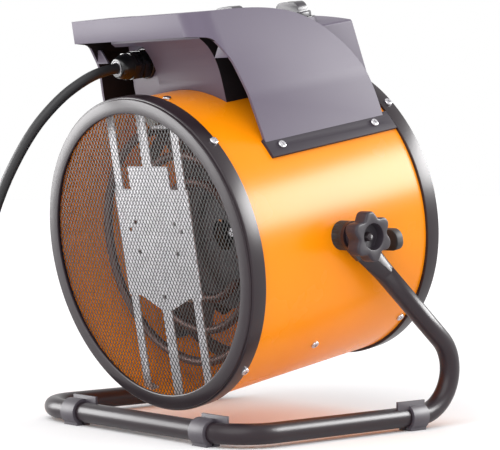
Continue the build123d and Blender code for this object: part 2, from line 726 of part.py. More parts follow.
def rearBox():
    shoulder, half = rear_box_shoulder, rear_box_half_width
    right = Polyline((half, 0, skirt_low), (half, 0, shoulder))
    crown = ThreePointArc((half, 0, shoulder), (0, 0, shoulder + rear_box_crown), (-half, 0, shoulder))
    left = Polyline((-half, 0, shoulder), (-half, 0, skirt_low), (half, 0, skirt_low))
    face = make_face(Wire([*right.edges(), *crown.edges(), *left.edges()]))
    body = Pos(0, rear_box_front, 0) * extrude(face, amount=rear_box_half_width, dir=(0, 1, 0))
    outer = body & sidePlate(rearBoxSide(0.0), drum_radius)
    edges = outer.edges().filter_by(lambda e: abs(e.center().X) > half - 0.01 and e.center().Z > shoulder - 1
                                    and e.length > dial_pad_radius)
    outer = fillet(edges, rear_box_round)
    hollow = block(-half + box_wall, half - box_wall, rear_box_front - 1, reach, 0, shoulder - rear_box_roof)
    box = outer - (hollow & sidePlate(rearBoxSide(box_wall), drum_radius))
    foot_z = shoulder - rear_box_roof + 0.1
    for x in (-dial_spacing / 2, dial_spacing / 2):
        pad = Cylinder(dial_pad_radius, dial_pad_top - foot_z)
        box += Pos(x, dial_depth, (dial_pad_top + foot_z) / 2) * pad
    for x in (-dial_spacing / 2, dial_spacing / 2):
        box -= Pos(x, dial_depth, shoulder) * Cylinder(spindle_radius + spindle_way, dial_spacing / 2)
    return box - rod(drum_radius + seat_gap, 0, reach)


rear_box = rearBox()
rim_space = rod(rear_rim_outer + hood_fit_gap, drum_length - rim_depth_rear - hood_fit_gap, reach)
rear_box -= rim_space
hood -= rim_space

# ---------------------------------------------------------------- rotary controls
dial_parts = {}
for x, name in ((-dial_spacing / 2, "mode"), (dial_spacing / 2, "thermostat")):
    plate_top = dial_pad_top + dial_plate_thickness
    plate = Cylinder(dial_plate_radius, dial_plate_thickness)
    plate -= Cylinder(spindle_radius + spindle_way, knob_height)
    plate = Pos(x, dial_depth, dial_pad_top + dial_plate_thickness / 2) * plate
    skirt_z = plate_top + knob_gap
    knob = Pos(0, 0, knob_skirt / 2) * Cylinder(knob_radius, knob_skirt)
    knob = fillet(knob.edges().group_by(Axis.Z)[-1], knob_skirt * 0.3)
    grip = Pos(0, 0, knob_height / 2) * Box(2 * (knob_radius - knob_grip_inset), knob_grip, knob_height)
    grip = fillet(grip.edges().filter_by(Axis.Y).group_by(Axis.Z)[-1], knob_height * 0.55)
    knob = knob + grip
    knob -= Pos(0, knob_grip / 2 - 1, knob_height) * Box(knob_line, knob_grip, knob_line)
    knob -= Pos(0, 0, knob_socket / 2) * Cylinder(spindle_radius, knob_socket)
    knob = Pos(x, dial_depth, skirt_z) * knob
    body_top = rear_box_shoulder - rear_box_roof - seat_gap
    spindle_z = skirt_z + knob_socket - spindle_length / 2
    spindle = Pos(x, dial_depth, spindle_z) * Cylinder(spindle_radius, spindle_length)
    bore = Pos(x, dial_depth, body_top) * Cylinder(spindle_radius + spindle_clearance, 2 * spindle_length)
    if name == "mode":
        body = Pos(x, dial_depth, body_top - switch_height / 2) * Box(switch_width, switch_width, switch_height)
    else:
        body = Cylinder(thermostat_radius, thermostat_height)
        body = Pos(x, dial_depth, body_top - thermostat_height / 2) * body
    dial_parts[name] = (plate, knob, spindle, body - bore)

deck_tilt = math.degrees(math.atan2(*bezel_fall))
bezel = Cylinder(bezel_radius, bezel_height) - Cylinder(bezel_radius - bezel_width, bezel_height)
deck_bezel = Pos(bezel_x, bezel_y, bezel_z + bezel_height / 2) * Rot(-deck_tilt, 0, 0) * bezel - hood

terminal_x, terminal_y = terminal_place
terminal_z = box_top - box_wall - seat_gap - terminal_size[2] / 2
terminal_block = Pos(terminal_x, terminal_y, terminal_z) * Box(*terminal_size)
for i in range(terminal_ways):
    way = terminal_x + (i - (terminal_ways - 1) / 2) * terminal_pitch
    mouth = Pos(way, terminal_y, terminal_z - terminal_size[2] / 2)
    terminal_block -= mouth * Cylinder(terminal_bore, terminal_bore_depth)

# ---------------------------------------------------------------- gland
flange_front_y = gland_wall_front - gland_flange_thickness
hex_front_y = flange_front_y - gland_hex_length


def hexBar(flats, y0, y1):
    bar = extrude(RegularPolygon(flats / 2, 6, major_radius=False), amount=y1 - y0)
    return Pos(gland_x, y1, gland_z) * Rot(90, 0, 0) * bar


cord_bore = rod(cord_radius + cord_fit, 0, reach, gland_x, gland_z)
gland_body = rod(gland_flange_radius, flange_front_y, gland_wall_front, gland_x, gland_z)
gland_body += hexBar(gland_flats, hex_front_y, flange_front_y)
thread_end = gland_wall_front + gland_thread_length
gland_body += rod(gland_thread_radius, gland_wall_front - 1, thread_end, gland_x, gland_z)
gland_body -= cord_bore
cap_back = hex_front_y - seat_gap
gland_cap = hexBar(gland_flats - 1, cap_back - gland_cap_hex, cap_back)
dome_length = cap_back - gland_cap_hex - cap_mouth_depth
dome = Rot(90, 0, 0) * Cone(gland_flats / 2, gland_cap_mouth, dome_length)
gland_cap += Pos(gland_x, cap_mouth_depth + dome_length / 2, gland_z) * dome
seal_radius = cord_radius + cord_fit + gland_seal_wall
gland_cap -= rod(seal_radius, 0, reach, gland_x, gland_z)
gland_seal = pipe(seal_radius - seat_gap, cord_radius + cord_fit, cap_mouth_depth, cap_back, gland_x, gland_z)
nut_back = gland_wall_front + box_wall
gland_nut = hexBar(gland_flats, nut_back, nut_back + gland_nut_thickness)
gland_nut -= rod(gland_thread_radius + seat_gap, 0, reach, gland_x, gland_z)

# ---------------------------------------------------------------- pivots, star knobs, tilt stops
def across(radius, x0, x1):
    return Pos((x0 + x1) / 2, pivot_depth, 0) * Cylinder(radius, x1 - x0, rotation=(0, 90, 0))


recess_floor = star_outer_x - star_recess_depth


def pivotBolt():
    flat = drum_inner - drum_wall
    bolt = across(pivot_bolt_radius, flat - bolt_head_thickness, recess_floor + bolt_end_height)
    bolt = chamfer(bolt.edges().group_by(Axis.X)[-1], pivot_bolt_radius * 0.2)
    bolt += across(bolt_head_radius, flat - bolt_head_thickness, flat)
    return bolt


def pivotBush():
    x0 = drum_radius - drum_wall
    bush = across(bush_radius, x0, drum_radius + seat_gap + pivot_bush_length)
    bush = fillet(bush.edges().group_by(Axis.X)[-1], bush_edge_round)
    bush -= across(pivot_bolt_radius + seat_gap, x0 - 1, drum_radius + 2 * pivot_bush_length)
    return bush - rod(drum_radius + seat_gap, 0, reach)


def starKnob():
    lobed = Pos(star_outer_x - star_thickness, pivot_depth, 0) * Rot(0, 90, 0) * Cylinder(
        star_tip_radius, star_thickness, align=(Align.CENTER, Align.CENTER, Align.MIN))
    for i in range(star_lobes):
        angle = math.radians((i + 0.5) * 360 / star_lobes)
        out = star_valley_radius + star_flute_radius
        y, z = pivot_depth + out * math.sin(angle), out * math.cos(angle)
        flute = Cylinder(star_flute_radius, star_thickness + 2, rotation=(0, 90, 0))
        lobed -= Pos(star_outer_x - star_thickness / 2, y, z) * flute
    lobed = fillet(lobed.edges().filter_by(Axis.X), star_lobe_round)
    lobed = fillet(lobed.edges().group_by(Axis.X)[-1], star_face_round)
    hub = across(star_hub_radius, star_inner_x, star_inner_x + star_hub_length + 1)
    knob = lobed + hub - across(star_recess_radius, recess_floor, star_outer_x + 1)
    return knob - across(pivot_bolt_radius + pivot_clearance, star_inner_x - 1, star_outer_x)


def tiltStop():
    """A lug on the drum that meets the stand when the drum lies level."""
    y0 = lug_depth - lug_thickness / 2
    lug = block(drum_radius - 6, drum_radius + lug_reach, y0, y0 + lug_thickness, -lug_drop - lug_height / 2,
                -lug_drop + lug_height / 2)
    lug = fillet(lug.edges().filter_by(Axis.Y).group_by(Axis.X)[-1], lug_height * 0.45)
    return lug - rod(drum_radius + seat_gap, 0, reach)


def mirrored(shape, side):
    return shape if side > 0 else shape.mirror(Plane.YZ)


# ---------------------------------------------------------------- screws
def pair(angle):
    return (angle, 180 - angle)


rim_screws = [screw(a, front_rim_outer, front_screw_depth, rim_screw_length) for a in rim_screw_angles]
rim_screws += [screw(a, rear_rim_outer, rear_screw_depth, rim_screw_length) for a in rim_screw_angles]
hood_screws = [screw(a, drum_radius + flange_thickness, d, flange_screw_length)
               for a in pair(flange_screw_angle) for d in flange_screw_depths]
motor_screw_depth = motor_bracket_depth + bracket_foot / 2
bracket_screws = [screw(a, drum_radius, motor_screw_depth) for a in bracket_screw_angles[2:]]
bracket_screws += [screw(a, drum_radius, carrier_depth + bracket_foot / 2) for a in lower_screw_angles]
bracket_screws += [screw(a, drum_radius, top_screw_depth) for a in pair(top_screw_angle)]

# ---------------------------------------------------------------- stand
ear_rise = math.radians(stand_rise_angle)


def standRoute():
    leg = (pivot_height - tube_centre_z) / math.sin(ear_rise)
    apex_y = origin_shift + leg * math.cos(ear_rise)
    up = ear_straight + ear_taper
    top_y = origin_shift + up * math.cos(ear_rise)
    top_z = pivot_height - up * math.sin(ear_rise)
    points, radii = [], []
    for side in (1, -1):
        leg_points = [(side * (ear_plane - ear_lean), top_y, top_z),
                      (side * stand_half_width, apex_y, tube_centre_z),
                      (side * stand_half_width, stand_front_y, tube_centre_z)]
        points += leg_points if side > 0 else leg_points[::-1]
    bends = [stand_rear_radius, stand_corner_radius, stand_corner_radius, stand_rear_radius]
    return FilletPolyline(*points, radius=bends), top_y, top_z


def standTube():
    """Closed front loop, two rear bends, and legs that flatten into the pivot ears."""
    path, top_y, top_z = standRoute()
    start = Plane(origin=path @ 0, z_dir=path % 0)
    outer = sweep(start * Circle(tube_radius), path=path)
    inner = sweep(start * Circle(tube_radius - tube_wall), path=path)
    ears = None
    for side in (1, -1):
        axis = Vector(0, math.cos(ear_rise), -math.sin(ear_rise))
        centre = Vector(side * ear_plane, origin_shift, pivot_height)
        round_end = Vector(side * (ear_plane - ear_lean), top_y, top_z)
        flat_end = centre + axis * (ear_straight - ear_overlap)
        along = path % 0 if side > 0 else (path % 1) * -1
        big = Plane(origin=round_end + along * 2, x_dir=(1, 0, 0), z_dir=-along) * Circle(tube_radius)
        oval = Ellipse(ear_thickness / 2 - 2 * seat_gap, ear_width / 2)
        small = Plane(origin=flat_end, x_dir=(1, 0, 0), z_dir=-axis) * oval
        ear = Solid.make_loft([big.wire(), small.wire()])
        frame = Plane(origin=centre, x_dir=(0, -math.cos(ear_rise), math.sin(ear_rise)), z_dir=(1, 0, 0))
        strip = Box(ear_straight, ear_width, ear_thickness, align=(Align.MAX, Align.CENTER, Align.CENTER))
        plate = frame * (strip + Cylinder(ear_width / 2, ear_thickness))
        ear = ear + plate - frame * Cylinder(pivot_bolt_radius + pivot_clearance, ear_width)
        ears = ear if ears is None else ears + ear
    return outer + ears - inner


def footClip(along_y):
    """A moulded clip snapped round the tube, flat at the floor, with an upright tab along its top."""
    outer = tube_centre_z
    ring = rod(outer, -clip_length / 2, clip_length / 2)
    sole = outer * clip_sole
    ring += block(-sole, sole, -clip_length / 2, clip_length / 2, -outer, 0)
    length = clip_length / 2 + clip_tab_length
    ring += block(-clip_tab_offset - clip_tab_thickness, -clip_tab_offset, -clip_length / 2, length,
                  tube_radius / 2, outer + clip_tab_rise)
    ring -= block(-clip_slot / 2, clip_slot / 2, -2, length, -outer - 1, -tube_radius + 1)
    return ring if along_y else Rot(0, 0, -90) * ring


stand_tube = standTube()
stand_path = standRoute()[0]
tube_end = Plane(origin=stand_path @ 0, z_dir=stand_path % 0)
tube_space = sweep(tube_end * Circle(tube_radius + seat_gap), path=stand_path)
clip_rear_y = origin_shift + clip_rear_offset
front_clips, rear_clips = {}, {}
for side, _ in left_right:
    front_place = Pos(side * clip_front_x[side], stand_front_y, tube_centre_z)
    rear_place = Pos(side * stand_half_width, clip_rear_y, tube_centre_z) * Rot(0, 0, 180)
    front_clips[side] = front_place * footClip(False) - tube_space
    rear_clips[side] = rear_place * footClip(True) - tube_space

# ---------------------------------------------------------------- cord, coil, tie and plug
coil_radius = 60.0
coil_pitch = 10.7
coil_lift = 1.3
coil_layer = 10.7
coil_half_turns = 3
coil_tail = 40.0
cord_floor = cord_radius + coil_lift
cord_lead = 2 * cord_radius
# each run of the free cord: degrees left of straight ahead, degrees of dip, length (0: what is left)
cord_runs = [(0, pitch, 16.0), (6, 23, 22.0), (16, 36, 32.0), (26, 50, 44.0), (33, 64, 70.0), (36, 78, 0.0),
             (38, 72, 76.0), (36, 46, 56.0), (24, 18, 38.0), (8, 0, 28.0), (0, 0, 22.0)]


def coilPoints():
    """Half turn arcs: in on the floor, one tilted half turn up, out on the second layer."""
    arcs, x, heading, z, radius = [], coil_radius, -1, cord_floor, coil_radius
    for i in range(2 * coil_half_turns):
        climb = coil_layer if i == coil_half_turns else 0.0
        far = -x / abs(x) * (2 * radius - abs(x))
        arcs.append(((x, 0.0, z), ((x + far) / 2, heading * radius, z + climb / 2), (far, 0.0, z + climb)))
        x, z, heading = far, z + climb, -heading
        radius += -coil_pitch / 2 if i < coil_half_turns else coil_pitch / 2
    return arcs


def dropOf(run):
    return run[2] * math.sin(math.radians(run[1]))


def cordRoute():
    """From the gland mouth to the coil: the steepest run takes up what height is left."""
    exit_point = (drumPlace() * Pos(gland_x, cap_mouth_depth, gland_z)).position
    fall = exit_point.Z - cord_floor - sum(dropOf(run) for run in cord_runs)
    points = [exit_point]
    for left, dip, length in cord_runs:
        length = length or fall / math.sin(math.radians(dip))
        flat = length * math.cos(math.radians(dip))
        turn = math.radians(left)
        drop = length * math.sin(math.radians(dip))
        points.append(points[-1] + Vector(-flat * math.sin(turn), -flat * math.cos(turn), -drop))
    return points


route = cordRoute()
coil_x, coil_y = route[-1].X - coil_radius, route[-1].Y - cord_lead


def cordCoil():
    arcs = [ThreePointArc(*[(coil_x + x, coil_y + y, z) for x, y, z in arc]) for arc in coilPoints()]
    first, last = arcs[0] @ 0, arcs[-1] @ 1
    lead = Line(first + Vector(0, cord_lead, 0), first)
    tail = Line(last, last + (arcs[-1] % 1) * coil_tail)
    wire = Wire([*lead.edges(), *[e for a in arcs for e in a.edges()], *tail.edges()])
    start = Plane(origin=wire @ 0, z_dir=wire % 0)
    return sweep(start * Circle(cord_radius), path=wire), wire


coil, coil_wire = cordCoil()


def filletRadii(points):
    radii = []
    for before, here, after in zip(points, points[1:], points[2:]):
        first, second = here - before, after - here
        half = math.radians(first.get_angle(second) / 2)
        radii.append(0.45 * min(first.length, second.length) / math.tan(half))
    return radii


cord_path = FilletPolyline(*route, radius=filletRadii(route))
power_cord = sweep(Plane(origin=cord_path @ 0, z_dir=cord_path % 0) * Circle(cord_radius), path=cord_path)
print("cord", round(cord_path.length + coil_wire.length, 1), "mm, coiled", round(coil_wire.length, 1))

plug_radius = cord_floor + coil_layer
plug_length = 34.0
plug_neck = 26.0
neck_wall = 1.0
pin_radius = 2.4
pin_length = 19.0
pin_spacing = 19.0
plug_round = 3.0
pin_round = 1.2
upright = (Align.CENTER, Align.CENTER, Align.MIN)
tail_way = coil_wire % 1
plug_frame = Plane(origin=(coil_wire @ 1) + tail_way * cord_fit, x_dir=(0, 0, 1), z_dir=tail_way)
neck = plug_frame * Cone(cord_radius + neck_wall, plug_radius * 0.62, plug_neck, align=upright)
head = Pos(0, 0, plug_neck) * Cylinder(plug_radius, plug_length, align=upright)
head = fillet(head.edges(), plug_round)
plug_body = neck + plug_frame * head
face_z = plug_neck + plug_length
pins = []
for side in (-1, 1):
    pin = Cylinder(pin_radius, pin_length, align=upright)
    pin = fillet(pin.edges().group_by(Axis.Z)[-1], pin_round)
    pins.append(plug_frame * Pos(0, side * pin_spacing / 2, face_z) * pin)
plug_pins = Compound(children=pins)

tie_gap = 0.2
tie_wall = 1.0
tie_width = 14.0
tie_bow = tie_width ** 2 / 8 / (coil_radius - 1.5 * coil_pitch)
tie_left = coil_x - coil_radius - cord_radius - tie_gap
tie_right = coil_x - coil_radius + coil_pitch + cord_radius + tie_gap + tie_bow
tie_low, tie_high = coil_lift - tie_gap, cord_floor + coil_layer + cord_radius + tie_gap
tie_front, tie_back = coil_y - tie_width / 2, coil_y + tie_width / 2
cord_tie = block(tie_left - tie_wall, tie_right + tie_wall, tie_front, tie_back,
                 tie_low - tie_wall, tie_high + tie_wall)
cord_tie -= block(tie_left, tie_right, tie_front - 1, tie_back + 1, tie_low, tie_high)

# ---------------------------------------------------------------- write every piece
on_drum = {
    "drum_shell": drum_shell, "front_rim": front_rim, "front_face_ring": front_ring,
    "front_grille": front_grille, "rear_rim": rear_rim, "rear_grille": rear_grille,
    "front_baffle": front_baffle,
    "element_carrier": element_carrier, "element_insulators": element_insulators,
    "heating_element_outer": elements[0], "heating_element_middle": elements[1],
    "heating_element_inner": elements[2], "motor_bracket": motor_bracket, "motor_stator": motor_stator,
    "motor_front_cap": motor_caps[0], "motor_rear_cap": motor_caps[1], "motor_bushes": motor_bushes,
    "fan_shaft": fan_shaft, "fan_impeller": fan_impeller, "fan_nut": fan_nut,
    "cutout_bracket": cutout_bracket, "thermal_cutout": thermal_cutout, "hood": hood,
    "control_box": control_box, "rear_box": rear_box, "deck_bezel": deck_bezel,
    "terminal_block": terminal_block, "gland_body": gland_body, "gland_cap": gland_cap,
    "gland_seal": gland_seal, "gland_nut": gland_nut,
    "rim_screws": Compound(children=rim_screws), "hood_screws": Compound(children=hood_screws),
    "bracket_screws": Compound(children=bracket_screws),
}
for name, (plate, knob, spindle, body) in dial_parts.items():
    on_drum[f"{name}_dial_plate"] = plate
    on_drum[f"{name}_knob"] = knob
    on_drum[f"{name}_spindle"] = spindle
    on_drum[f"{name}_{'switch' if name == 'mode' else 'body'}"] = body
bolts = []
for side, word in left_right:
    on_drum[f"pivot_bush_{word}"] = mirrored(pivotBush(), side)
    on_drum[f"star_knob_{word}"] = mirrored(starKnob(), side)
    on_drum[f"tilt_stop_{word}"] = mirrored(tiltStop(), side)
    bolts.append(mirrored(pivotBolt(), side))
on_drum["pivot_bolts"] = Compound(children=bolts)
nodes = {name: drumPlace() * shape for name, shape in on_drum.items()}
nodes["stand_tube"] = stand_tube
for side, word in left_right:
    nodes[f"foot_clip_front_{word}"] = front_clips[side]
    nodes[f"foot_clip_rear_{word}"] = rear_clips[side]
nodes.update({"power_cord": power_cord, "power_cord_coil": coil, "cord_tie": cord_tie,
              "plug_body": plug_body, "plug_pins": plug_pins})

os.makedirs("parts", exist_ok=True)
for name, shape in nodes.items():
    export_step(shape, f"parts/{name}.step")
print(len(nodes), "nodes")
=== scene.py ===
import bpy
import bmesh
import math
from mathutils import Matrix, Vector


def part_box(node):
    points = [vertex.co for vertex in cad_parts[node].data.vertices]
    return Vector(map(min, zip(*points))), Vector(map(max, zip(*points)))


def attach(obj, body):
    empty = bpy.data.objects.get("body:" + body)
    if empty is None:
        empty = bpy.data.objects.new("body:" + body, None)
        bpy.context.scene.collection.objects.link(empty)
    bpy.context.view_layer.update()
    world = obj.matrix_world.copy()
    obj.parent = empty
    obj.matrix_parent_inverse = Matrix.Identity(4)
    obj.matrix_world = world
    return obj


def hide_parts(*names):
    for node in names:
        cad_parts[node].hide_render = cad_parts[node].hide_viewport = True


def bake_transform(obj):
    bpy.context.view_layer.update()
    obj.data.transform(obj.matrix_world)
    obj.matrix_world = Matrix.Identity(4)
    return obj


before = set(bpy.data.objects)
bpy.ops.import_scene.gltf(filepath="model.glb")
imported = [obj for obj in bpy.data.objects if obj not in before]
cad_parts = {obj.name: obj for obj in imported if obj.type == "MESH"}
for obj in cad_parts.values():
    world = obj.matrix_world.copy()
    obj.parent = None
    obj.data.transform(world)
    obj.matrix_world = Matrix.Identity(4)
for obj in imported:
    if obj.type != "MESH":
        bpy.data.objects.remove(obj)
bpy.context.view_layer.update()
mm = 0.001
scene = bpy.context.scene
scene.view_settings.view_transform = "Standard"
print("frame loaded")

# the drum is drawn level, front face centre at the origin and axis along +Y, then pitched about its pivots
drum = {"radius": 143.5, "wall": 1.2, "pitch": 10.0, "pivotDepth": 117.1, "pivotHeight": 183.7,
        "pivotShift": -2.12}
drumTurn = (Matrix.Translation((0, drum["pivotShift"] * mm, drum["pivotHeight"] * mm))
            @ Matrix.Rotation(math.radians(drum["pitch"]), 4, "X")
            @ Matrix.Translation((0, -drum["pivotDepth"] * mm, 0)))

# points closer than the weld, in mm, become one, and faces within the flat angle, in degrees, are joined
cleanSet = {"weld": 0.01, "flat": 0.8}


# small helpers. Sharp is the angle, in degrees, past which an edge is bevelled or stays crisp
def hexColour(code):
    channels = [int(code[i:i + 2], 16) / 255 for i in (1, 3, 5)]
    return [c / 12.92 if c <= 0.04045 else ((c + 0.055) / 1.055) ** 2.4 for c in channels] + [1.0]


def addNode(tree, kind, values=None, links=None, **settings):
    node = tree.nodes.new(kind)
    for name, value in settings.items():
        setattr(node, name, value)
    for socket, value in (values or {}).items():
        node.inputs[socket].default_value = value
    for socket, source in (links or {}).items():
        tree.links.new(source, node.inputs[socket])
    return node


def newMaterial(name):
    material = bpy.data.materials.new(name)
    material.use_nodes = True
    return material, material.node_tree.nodes["Principled BSDF"]


def fromAxis(point):
    return math.hypot(point.x, point.z)


def aimAt(obj, place, aim):
    obj.location = place
    obj.rotation_euler = (Vector(aim) - Vector(place)).to_track_quat("-Z", "Y").to_euler()


def activate(*objects):
    if bpy.context.object and bpy.context.object.mode != "OBJECT":
        bpy.ops.object.mode_set(mode="OBJECT")
    for obj in bpy.context.selected_objects:
        obj.select_set(False)
    for obj in objects:
        obj.select_set(True)
    bpy.context.view_layer.objects.active = objects[0]


def editAll(obj):
    activate(obj)
    bpy.ops.object.mode_set(mode="EDIT")
    bpy.ops.mesh.select_all(action="SELECT")


def leaveEdit():
    bpy.ops.object.mode_set(mode="OBJECT")


def pickFaces(obj, wanted):
    activate(obj)
    bpy.ops.object.mode_set(mode="EDIT")
    bpy.ops.mesh.select_mode(type="FACE")
    bpy.ops.mesh.select_all(action="DESELECT")
    sheet = bmesh.from_edit_mesh(obj.data)
    for face in sheet.faces:
        face.select_set(wanted(face))
    bmesh.update_edit_mesh(obj.data)


def joinAll(first, *others):
    activate(first, *others)
    bpy.ops.object.join()
    return first


def paint(obj, material):
    obj.data.materials.clear()
    obj.data.materials.append(material)
    for face in obj.data.polygons:
        face.material_index = 0


def applyModifiers(obj):
    activate(obj)
    for modifier in list(obj.modifiers):
        bpy.ops.object.modifier_apply(modifier=modifier.name)


def addWall(obj, thick, offset):
    wall = obj.modifiers.new("wall", "SOLIDIFY")
    wall.thickness, wall.offset = thick * mm, offset
    applyModifiers(obj)


def addBevel(obj, width, sharp, segments=3):
    bevel = obj.modifiers.new("edges", "BEVEL")
    bevel.width, bevel.segments, bevel.limit_method = width * mm, segments, "ANGLE"
    bevel.angle_limit = math.radians(sharp)
    applyModifiers(obj)


def smooth(obj, sharp):
    activate(obj)
    bpy.ops.object.shade_smooth_by_angle(angle=math.radians(sharp), keep_sharp_edges=False)


def soften(obj, edge, sharp):
    addBevel(obj, edge, sharp)
    smooth(obj, sharp)


def cutWith(obj, tool, operation="DIFFERENCE"):
    cut = obj.modifiers.new("cut", "BOOLEAN")
    cut.object, cut.operation, cut.solver = tool, operation, "EXACT"
    applyModifiers(obj)
    bpy.data.objects.remove(tool)


def settle(obj, turn=None):
    activate(obj)
    bpy.ops.object.transform_apply(location=True, rotation=True, scale=True)
    if turn is not None:
        obj.data.transform(turn)
    return obj


def mount(obj, body, material, node):
    paint(obj, material)
    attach(obj, body)
    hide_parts(node)


def ownCopy(source, name):
    copied = bpy.data.objects.new(name, source.data.copy())
    scene.collection.objects.link(copied)
    return copied


def cleanCopy(node, name, flatten=True):
    copied = ownCopy(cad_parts[node], name)
    editAll(copied)
    bpy.ops.mesh.remove_doubles(threshold=cleanSet["weld"] * mm)
    if flatten:
        bpy.ops.mesh.dissolve_limited(angle_limit=math.radians(cleanSet["flat"]))
    leaveEdit()
    return copied


# a profile of (radius, depth) pairs spun round the drum's axis: a loop, or a line whose ends lie on the axis
def turned(name, profile, steps, loop=True):
    points = [(0, y * mm, r * mm) for r, y in profile]
    spans = len(points) if loop else len(points) - 1
    mesh = bpy.data.meshes.new(name)
    mesh.from_pydata(points, [(i, (i + 1) % len(points)) for i in range(spans)], [])
    obj = bpy.data.objects.new(name, mesh)
    scene.collection.objects.link(obj)
    editAll(obj)
    bpy.ops.mesh.spin(steps=steps, angle=math.tau, center=(0, 0, 0), axis=(0, 1, 0))
    bpy.ops.mesh.select_all(action="SELECT")
    bpy.ops.mesh.remove_doubles(threshold=cleanSet["weld"] * mm)
    bpy.ops.mesh.normals_make_consistent(inside=False)
    leaveEdit()
    return obj


# camera
cameraSet = {"place": (1.51759, -1.30387, 0.26282), "aim": (0.00739, 0.00527, 0.18904), "lens": 150.28,
             "sensor": 36.0, "near": 0.05, "far": 50.0}
camera = bpy.data.objects.new("camera", bpy.data.cameras.new("camera"))
scene.collection.objects.link(camera)
camera.data.lens, camera.data.sensor_width = cameraSet["lens"], cameraSet["sensor"]
camera.data.clip_start, camera.data.clip_end = cameraSet["near"], cameraSet["far"]
aimAt(camera, cameraSet["place"], cameraSet["aim"])
scene.camera = camera

# matt white paper: a soft diffuse floor that keeps the shadow
floorSet = {"size": 14.0, "colour": "#fbfafb", "roughness": 0.9}
bpy.ops.mesh.primitive_plane_add(size=floorSet["size"], location=(0, 0, 0))
floor = bpy.context.object
floor.name = "studioFloor"
floorPaper, shader = newMaterial("matt white paper")
shader.inputs["Base Color"].default_value = hexColour(floorSet["colour"])
shader.inputs["Roughness"].default_value = floorSet["roughness"]
paint(floor, floorPaper)

# the room lights the heater from all sides, a little dimmer than the white that camera and gloss see
roomSet = {"colour": "#ffffff", "lighting": 0.92, "seen": 1.0}
scene.world = bpy.data.worlds.new("studio")
scene.world.use_nodes = True
tree = scene.world.node_tree
tree.nodes.clear()
rays = addNode(tree, "ShaderNodeLightPath").outputs
straight = addNode(tree, "ShaderNodeMath", operation="MAXIMUM",
                   links={0: rays["Is Camera Ray"], 1: rays["Is Transmission Ray"]})
seen = addNode(tree, "ShaderNodeMath", operation="MAXIMUM",
               links={0: straight.outputs[0], 1: rays["Is Glossy Ray"]})
room, white = [addNode(tree, "ShaderNodeBackground",
                       values={"Color": hexColour(roomSet["colour"]), "Strength": roomSet[strength]})
               for strength in ("lighting", "seen")]
mixed = addNode(tree, "ShaderNodeMixShader",
                links={0: seen.outputs[0], 1: room.outputs[0], 2: white.outputs[0]})
addNode(tree, "ShaderNodeOutputWorld", links={"Surface": mixed.outputs[0]})

# one wide soft light from the front and above, and softboxes that only gloss shows
skyLight = {"from": (0.35, -0.7, 0.62), "strength": 1.7, "spread": 60.0}
softboxes = {"frontCard": {"place": (-0.84, -0.72, 0.34), "size": (0.75, 0.62), "watts": 20.0},
             "rearRight": {"place": (1.05, 1.35, 0.95), "size": (1.5, 0.75), "watts": 92.0}}
softboxAim = (0, 0, 0.18)
sky = bpy.data.objects.new("sky", bpy.data.lights.new("sky", "SUN"))
scene.collection.objects.link(sky)
sky.data.energy, sky.data.angle = skyLight["strength"], math.radians(skyLight["spread"])
sky.rotation_euler = Vector(skyLight["from"]).to_track_quat("Z", "Y").to_euler()
for name, softbox in softboxes.items():
    lamp = bpy.data.lights.new(name, "AREA")
    lamp.shape, lamp.energy = "RECTANGLE", softbox["watts"]
    lamp.size, lamp.size_y = softbox["size"]
    lampObject = bpy.data.objects.new(name, lamp)
    scene.collection.objects.link(lampObject)
    aimAt(lampObject, softbox["place"], softboxAim)
    lampObject.visible_camera = lampObject.visible_diffuse = False
print("camera, floor and light made")

# most skins: tint and polish wander over wide patches, and a grain breaks the gloss. Sizes are in mm, and a
# grain finer than about half a millimetre is drawn that coarse, so that it shows
grainSet = {"patch": 71.43, "patchDetail": 3.0, "grainDetail": 2.0}


def grained(name, base, dark, roughness, grain, height, spread=0.05, specular=0.5, metallic=0.0):
    material, shader = newMaterial(name)
    tree = material.node_tree
    place = addNode(tree, "ShaderNodeTexCoord").outputs["Object"]
    cloud = addNode(tree, "ShaderNodeTexNoise", links={"Vector": place},
                    values={"Scale": 1 / (grainSet["patch"] * mm), "Detail": grainSet["patchDetail"]})
    tint = addNode(tree, "ShaderNodeMix", data_type="RGBA", links={"Factor": cloud.outputs["Fac"]},
                   values={"A": hexColour(dark), "B": hexColour(base)})
    tree.links.new(tint.outputs["Result"], shader.inputs["Base Color"])
    worn = addNode(tree, "ShaderNodeMapRange", links={"Value": cloud.outputs["Fac"]},
                   values={"To Min": roughness - spread, "To Max": roughness + spread})
    tree.links.new(worn.outputs["Result"], shader.inputs["Roughness"])
    fine = addNode(tree, "ShaderNodeTexNoise", links={"Vector": place},
                   values={"Scale": 1 / (grain * mm), "Detail": grainSet["grainDetail"]})
    bump = addNode(tree, "ShaderNodeBump", links={"Height": fine.outputs["Fac"]},
                   values={"Strength": 1.0, "Distance": height * mm})
    tree.links.new(bump.outputs["Normal"], shader.inputs["Normal"])
    shader.inputs["Specular IOR Level"].default_value = specular
    shader.inputs["Metallic"].default_value = metallic
    return material


# polyester powder coat, sprayed and baked: a faint orange peel under a satin gloss
orangePowderCoat = grained("orange powder coat", "#ff970c", "#ff9008", 0.27, 2.2, 0.012, 0.02, specular=0.2)
# black stoving enamel on rims, tube and pivot bolts: a soft gloss over a slight peel
blackEnamel = grained("black gloss enamel", "#2b2026", "#22191e", 0.33, 3.0, 0.008, 0.03, specular=0.33)
# ABS moulded in a spark eroded tool: mauve grey with a fine sand grain
moulded = grained("moulded grey ABS", "#686070", "#625a69", 0.46, 0.7, 0.02, specular=0.15)
# the hood's screw flange is moulded rougher than the polished arch, and its darker colour is a painted dark
# reflection along the flange
coarseFlangeDarkReflection = grained("coarse moulded ABS, painted dark reflection", "#3b353d", "#363038", 0.6, 0.9, 0.03, specular=0.15)
